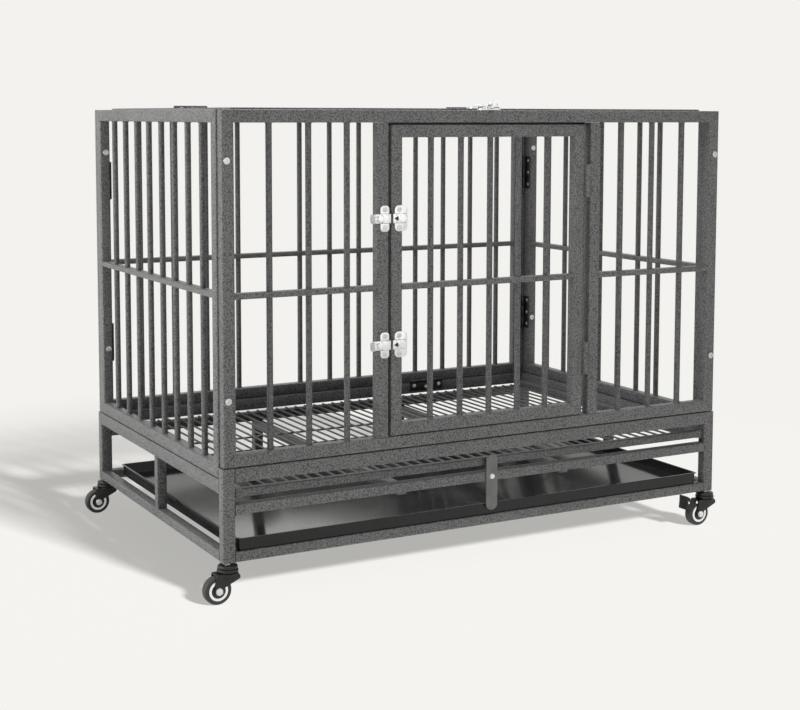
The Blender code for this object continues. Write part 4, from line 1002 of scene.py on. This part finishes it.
# Two legs pressed from one sheet, a crown plate and the bearing race domed above it
def casterFork(prefix, node, body, x, y, v):
    wx, wz = x - v["trail"], wheel["radius"]
    nose = (x + v["crownRadius"] - v["noseRound"], v["crown"] - v["noseRound"])
    heel = wx - v["heel"]
    outline = arc(nose, v["noseRound"], 90, -28, 7) + arc((wx, wz), v["eye"], 30, -190, 14)
    outline += [(heel - 0.0012, wz + 0.012), (heel, v["crown"] - 0.002), (heel + 0.001, v["crown"])]
    parts = []
    for hand in (-1, 1):
        near, far = sorted((y + hand * v["legIn"], y + hand * (v["legIn"] + v["leg"])))
        parts.append(plateFrom(outline, "y", near, far, 0.0006))
    across = v["legIn"] + 0.001
    parts.append(softBlock((heel + 0.0006, y - across, v["crownLow"]), (x, y + across, v["crown"]), 0.0007, 3))
    for low, high, radius, soft in ((v["crownLow"], v["crown"], v["crownRadius"], 0.0010),
                                    (v["crown"], v["crown"] + 0.0016, v["race"] - 0.0030, 0.0),
                                    (v["crown"] + 0.0012, v["raceTop"], v["race"], 0.0022),
                                    (v["raceTop"] - 0.0008, v["domeTop"], v["dome"], 0.0034)):
        parts.append(upright(x, y, low, high, radius, 44, soft, 4))
    settle(prefix + "Fork", parts, body, "blackSteel", [node + "_fork"])


def casterAxle(prefix, node, body, wx, y, v):
    wz, face = wheel["radius"], fork["legIn"] + fork["leg"]
    parts = [disc((wx, y, wz), "y", v["pin"], 2 * face + 0.006, 16)]
    for hand in (-1, 1):
        parts.append(disc((wx, y + hand * (face + 0.0002), wz), "y", v["washer"], 0.0008, 28, 0.0002, 1))
        parts.append(disc((wx, y + hand * (face + v["nutHigh"] / 2), wz), "y", v["nut"], v["nutHigh"], 6, 0.0007, 3))
        parts.append(disc((wx, y + hand * (face + v["nutHigh"]), wz), "y", v["tip"], 0.0014, 20, 0.0004, 2))
    settle(prefix + "Axle", parts, body, "zinc", [node + "_axle"], angle=30)


# Insets the flat side of a disc in steps of a width and a depth
def stepIn(made, hand, *steps):
    pick(made, "FACE", lambda face: face.normal.y * hand > 0.999)
    for width, depth in steps:
        bpy.ops.mesh.inset(thickness=width, depth=depth)
    leave()


# A rubber tread whose sides step in to a bright band and a dished hub
def casterWheel(prefix, node, body, wx, y, v):
    wz, half = v["radius"], v["wide"] / 2
    tread = disc((wx, y, wz), "y", v["radius"], v["wide"], 64, v["shoulder"], 6)
    bands, hubs = [], []
    for hand in (-1, 1):
        stepIn(tread, hand, (v["radius"] - v["shoulder"] - v["bandOut"] - 0.0006, 0), (0.0006, -0.0010))
        band = disc((wx, y + hand * (half - 0.0009), wz), "y", v["bandOut"], 0.0016, 56, 0.0004, 2)
        stepIn(band, hand, (v["bandOut"] - v["bandIn"] - 0.0004, 0), (0.0003, -0.0012))
        bands.append(band)
        dish = disc((wx, y + hand * (half - 0.0013), wz), "y", v["bandIn"] - 0.0004, 0.0018, 44, 0.0003, 2)
        stepIn(dish, hand, (0.0030, -0.0012))
        hubs += [dish, disc((wx, y + hand * (half - 0.0006), wz), "y", v["boss"], 0.0022, 28, 0.0005, 2)]
    settle(prefix + "Tread", [tread], body, "rubber", [node + "_wheel"])
    settle(prefix + "Hub", hubs, body, "hubPlastic")
    settle(prefix + "Band", bands, body, "chrome")


pedal = {"pivot": (-0.0135, 0.0255), "ear": 0.0018, "earClear": 0.0004, "clear": 0.0256, "low": (-0.0365, 0.0125),
         "high": (-0.0335, 0.0385), "thick": 0.0024, "wide": 0.0128, "rivet": 0.0026}


# Two ears round the pivot carry a broad tread plate that stands nearly upright when the brake is off
def casterPedal(prefix, node, body, wx, y, v):
    wz = wheel["radius"]
    place = lambda point: (wx + point[0], wz + point[1])
    (lowX, lowZ), (highX, highZ) = v["low"], v["high"]
    outline = arc(place(v["pivot"]), 0.0046, 95, -35, 6) + arc((wx, wz), v["clear"], 122, 157, 6)
    ends = ((lowX + 0.001, lowZ), (highX + 0.001, highZ - 0.004), (highX + 0.008, highZ - 0.007))
    outline += [place(point) for point in ends]
    inner = fork["legIn"] - v["earClear"]
    parts = []
    for hand in (-1, 1):
        near, far = sorted((y + hand * inner, y + hand * (inner - v["ear"])))
        parts.append(plateFrom(outline, "y", near, far, 0.0004))
    bend = 0.013
    flap = ((lowX, lowZ), (lowX + v["thick"], lowZ - 0.0004), (lowX + v["thick"] + 0.0024, lowZ + bend),
            (highX + v["thick"], highZ), (highX - 0.0012, highZ + 0.0006), (lowX + 0.0016, lowZ + bend))
    parts.append(plateFrom([place(point) for point in flap], "y", y - v["wide"], y + v["wide"], 0.0008))
    pivotX, pivotZ = place(v["pivot"])
    parts.append(disc((pivotX, y, pivotZ), "y", 0.0024, 2 * inner, 20, 0.0004, 2))
    settle(prefix + "Pedal", parts, body, "blackSteel", [node + "_brake_pedal"])

    def rivets(alongX, alongZ, out):
        return [disc((pivotX + alongX, y + hand * out, pivotZ + alongZ), "y", v["rivet"], 0.0016, 20, 0.0006, 3)
                for hand in (-1, 1)]

    settle(prefix + "PedalRivets", rivets(-0.0150, 0.0005, inner), body, "zinc")
    settle(prefix + "PedalPins", rivets(0.0030, 0.0, fork["legIn"] + fork["leg"] + 0.0004),
           body.replace("brake", "right_fork"), "zinc")


def caster(prefix, end, hand, x, y):
    node, body, wx = f"caster_{end}_{hand}", f"{end}_{hand}", x - fork["trail"]
    casterStem(prefix, node, x, y, stem)
    casterFork(prefix, node, body + "_fork_body", x, y, fork)
    casterAxle(prefix, node, body + "_fork_body", wx, y, axle)
    casterWheel(prefix, node, body + "_wheel_body", wx, y, wheel)
    if hand == "right":
        casterPedal(prefix, node, end + "_brake_body", wx, y, pedal)


for end, y in (("front", -0.335), ("back", 0.335)):
    for hand, x in (("left", -0.52225), ("right", 0.52225)):
        caster(end + hand.capitalize(), end, hand, x, y)
print("casters made")

# No softbox lights the floor, and the front one leaves out what stands behind the front
behindFront = ["backPanelFrame", "backPanelFrameBars", "leftPanelFrame", "leftPanelFrameBars", "rightPanelFrame",
               "rightPanelFrameBars", "backTopRail", "floorFrame", "grateFrame", "leftBaseFrame", "rightBaseFrame",
               "backRailHinge"]
shaded = {"leftSoftbox": [], "topSoftbox": [], "frontSoftbox": behindFront}
for lampName, names in shaded.items():
    lampLights(softboxes[lampName], [studioFloor] + [bpy.data.objects[name] for name in names], "EXCLUDE")
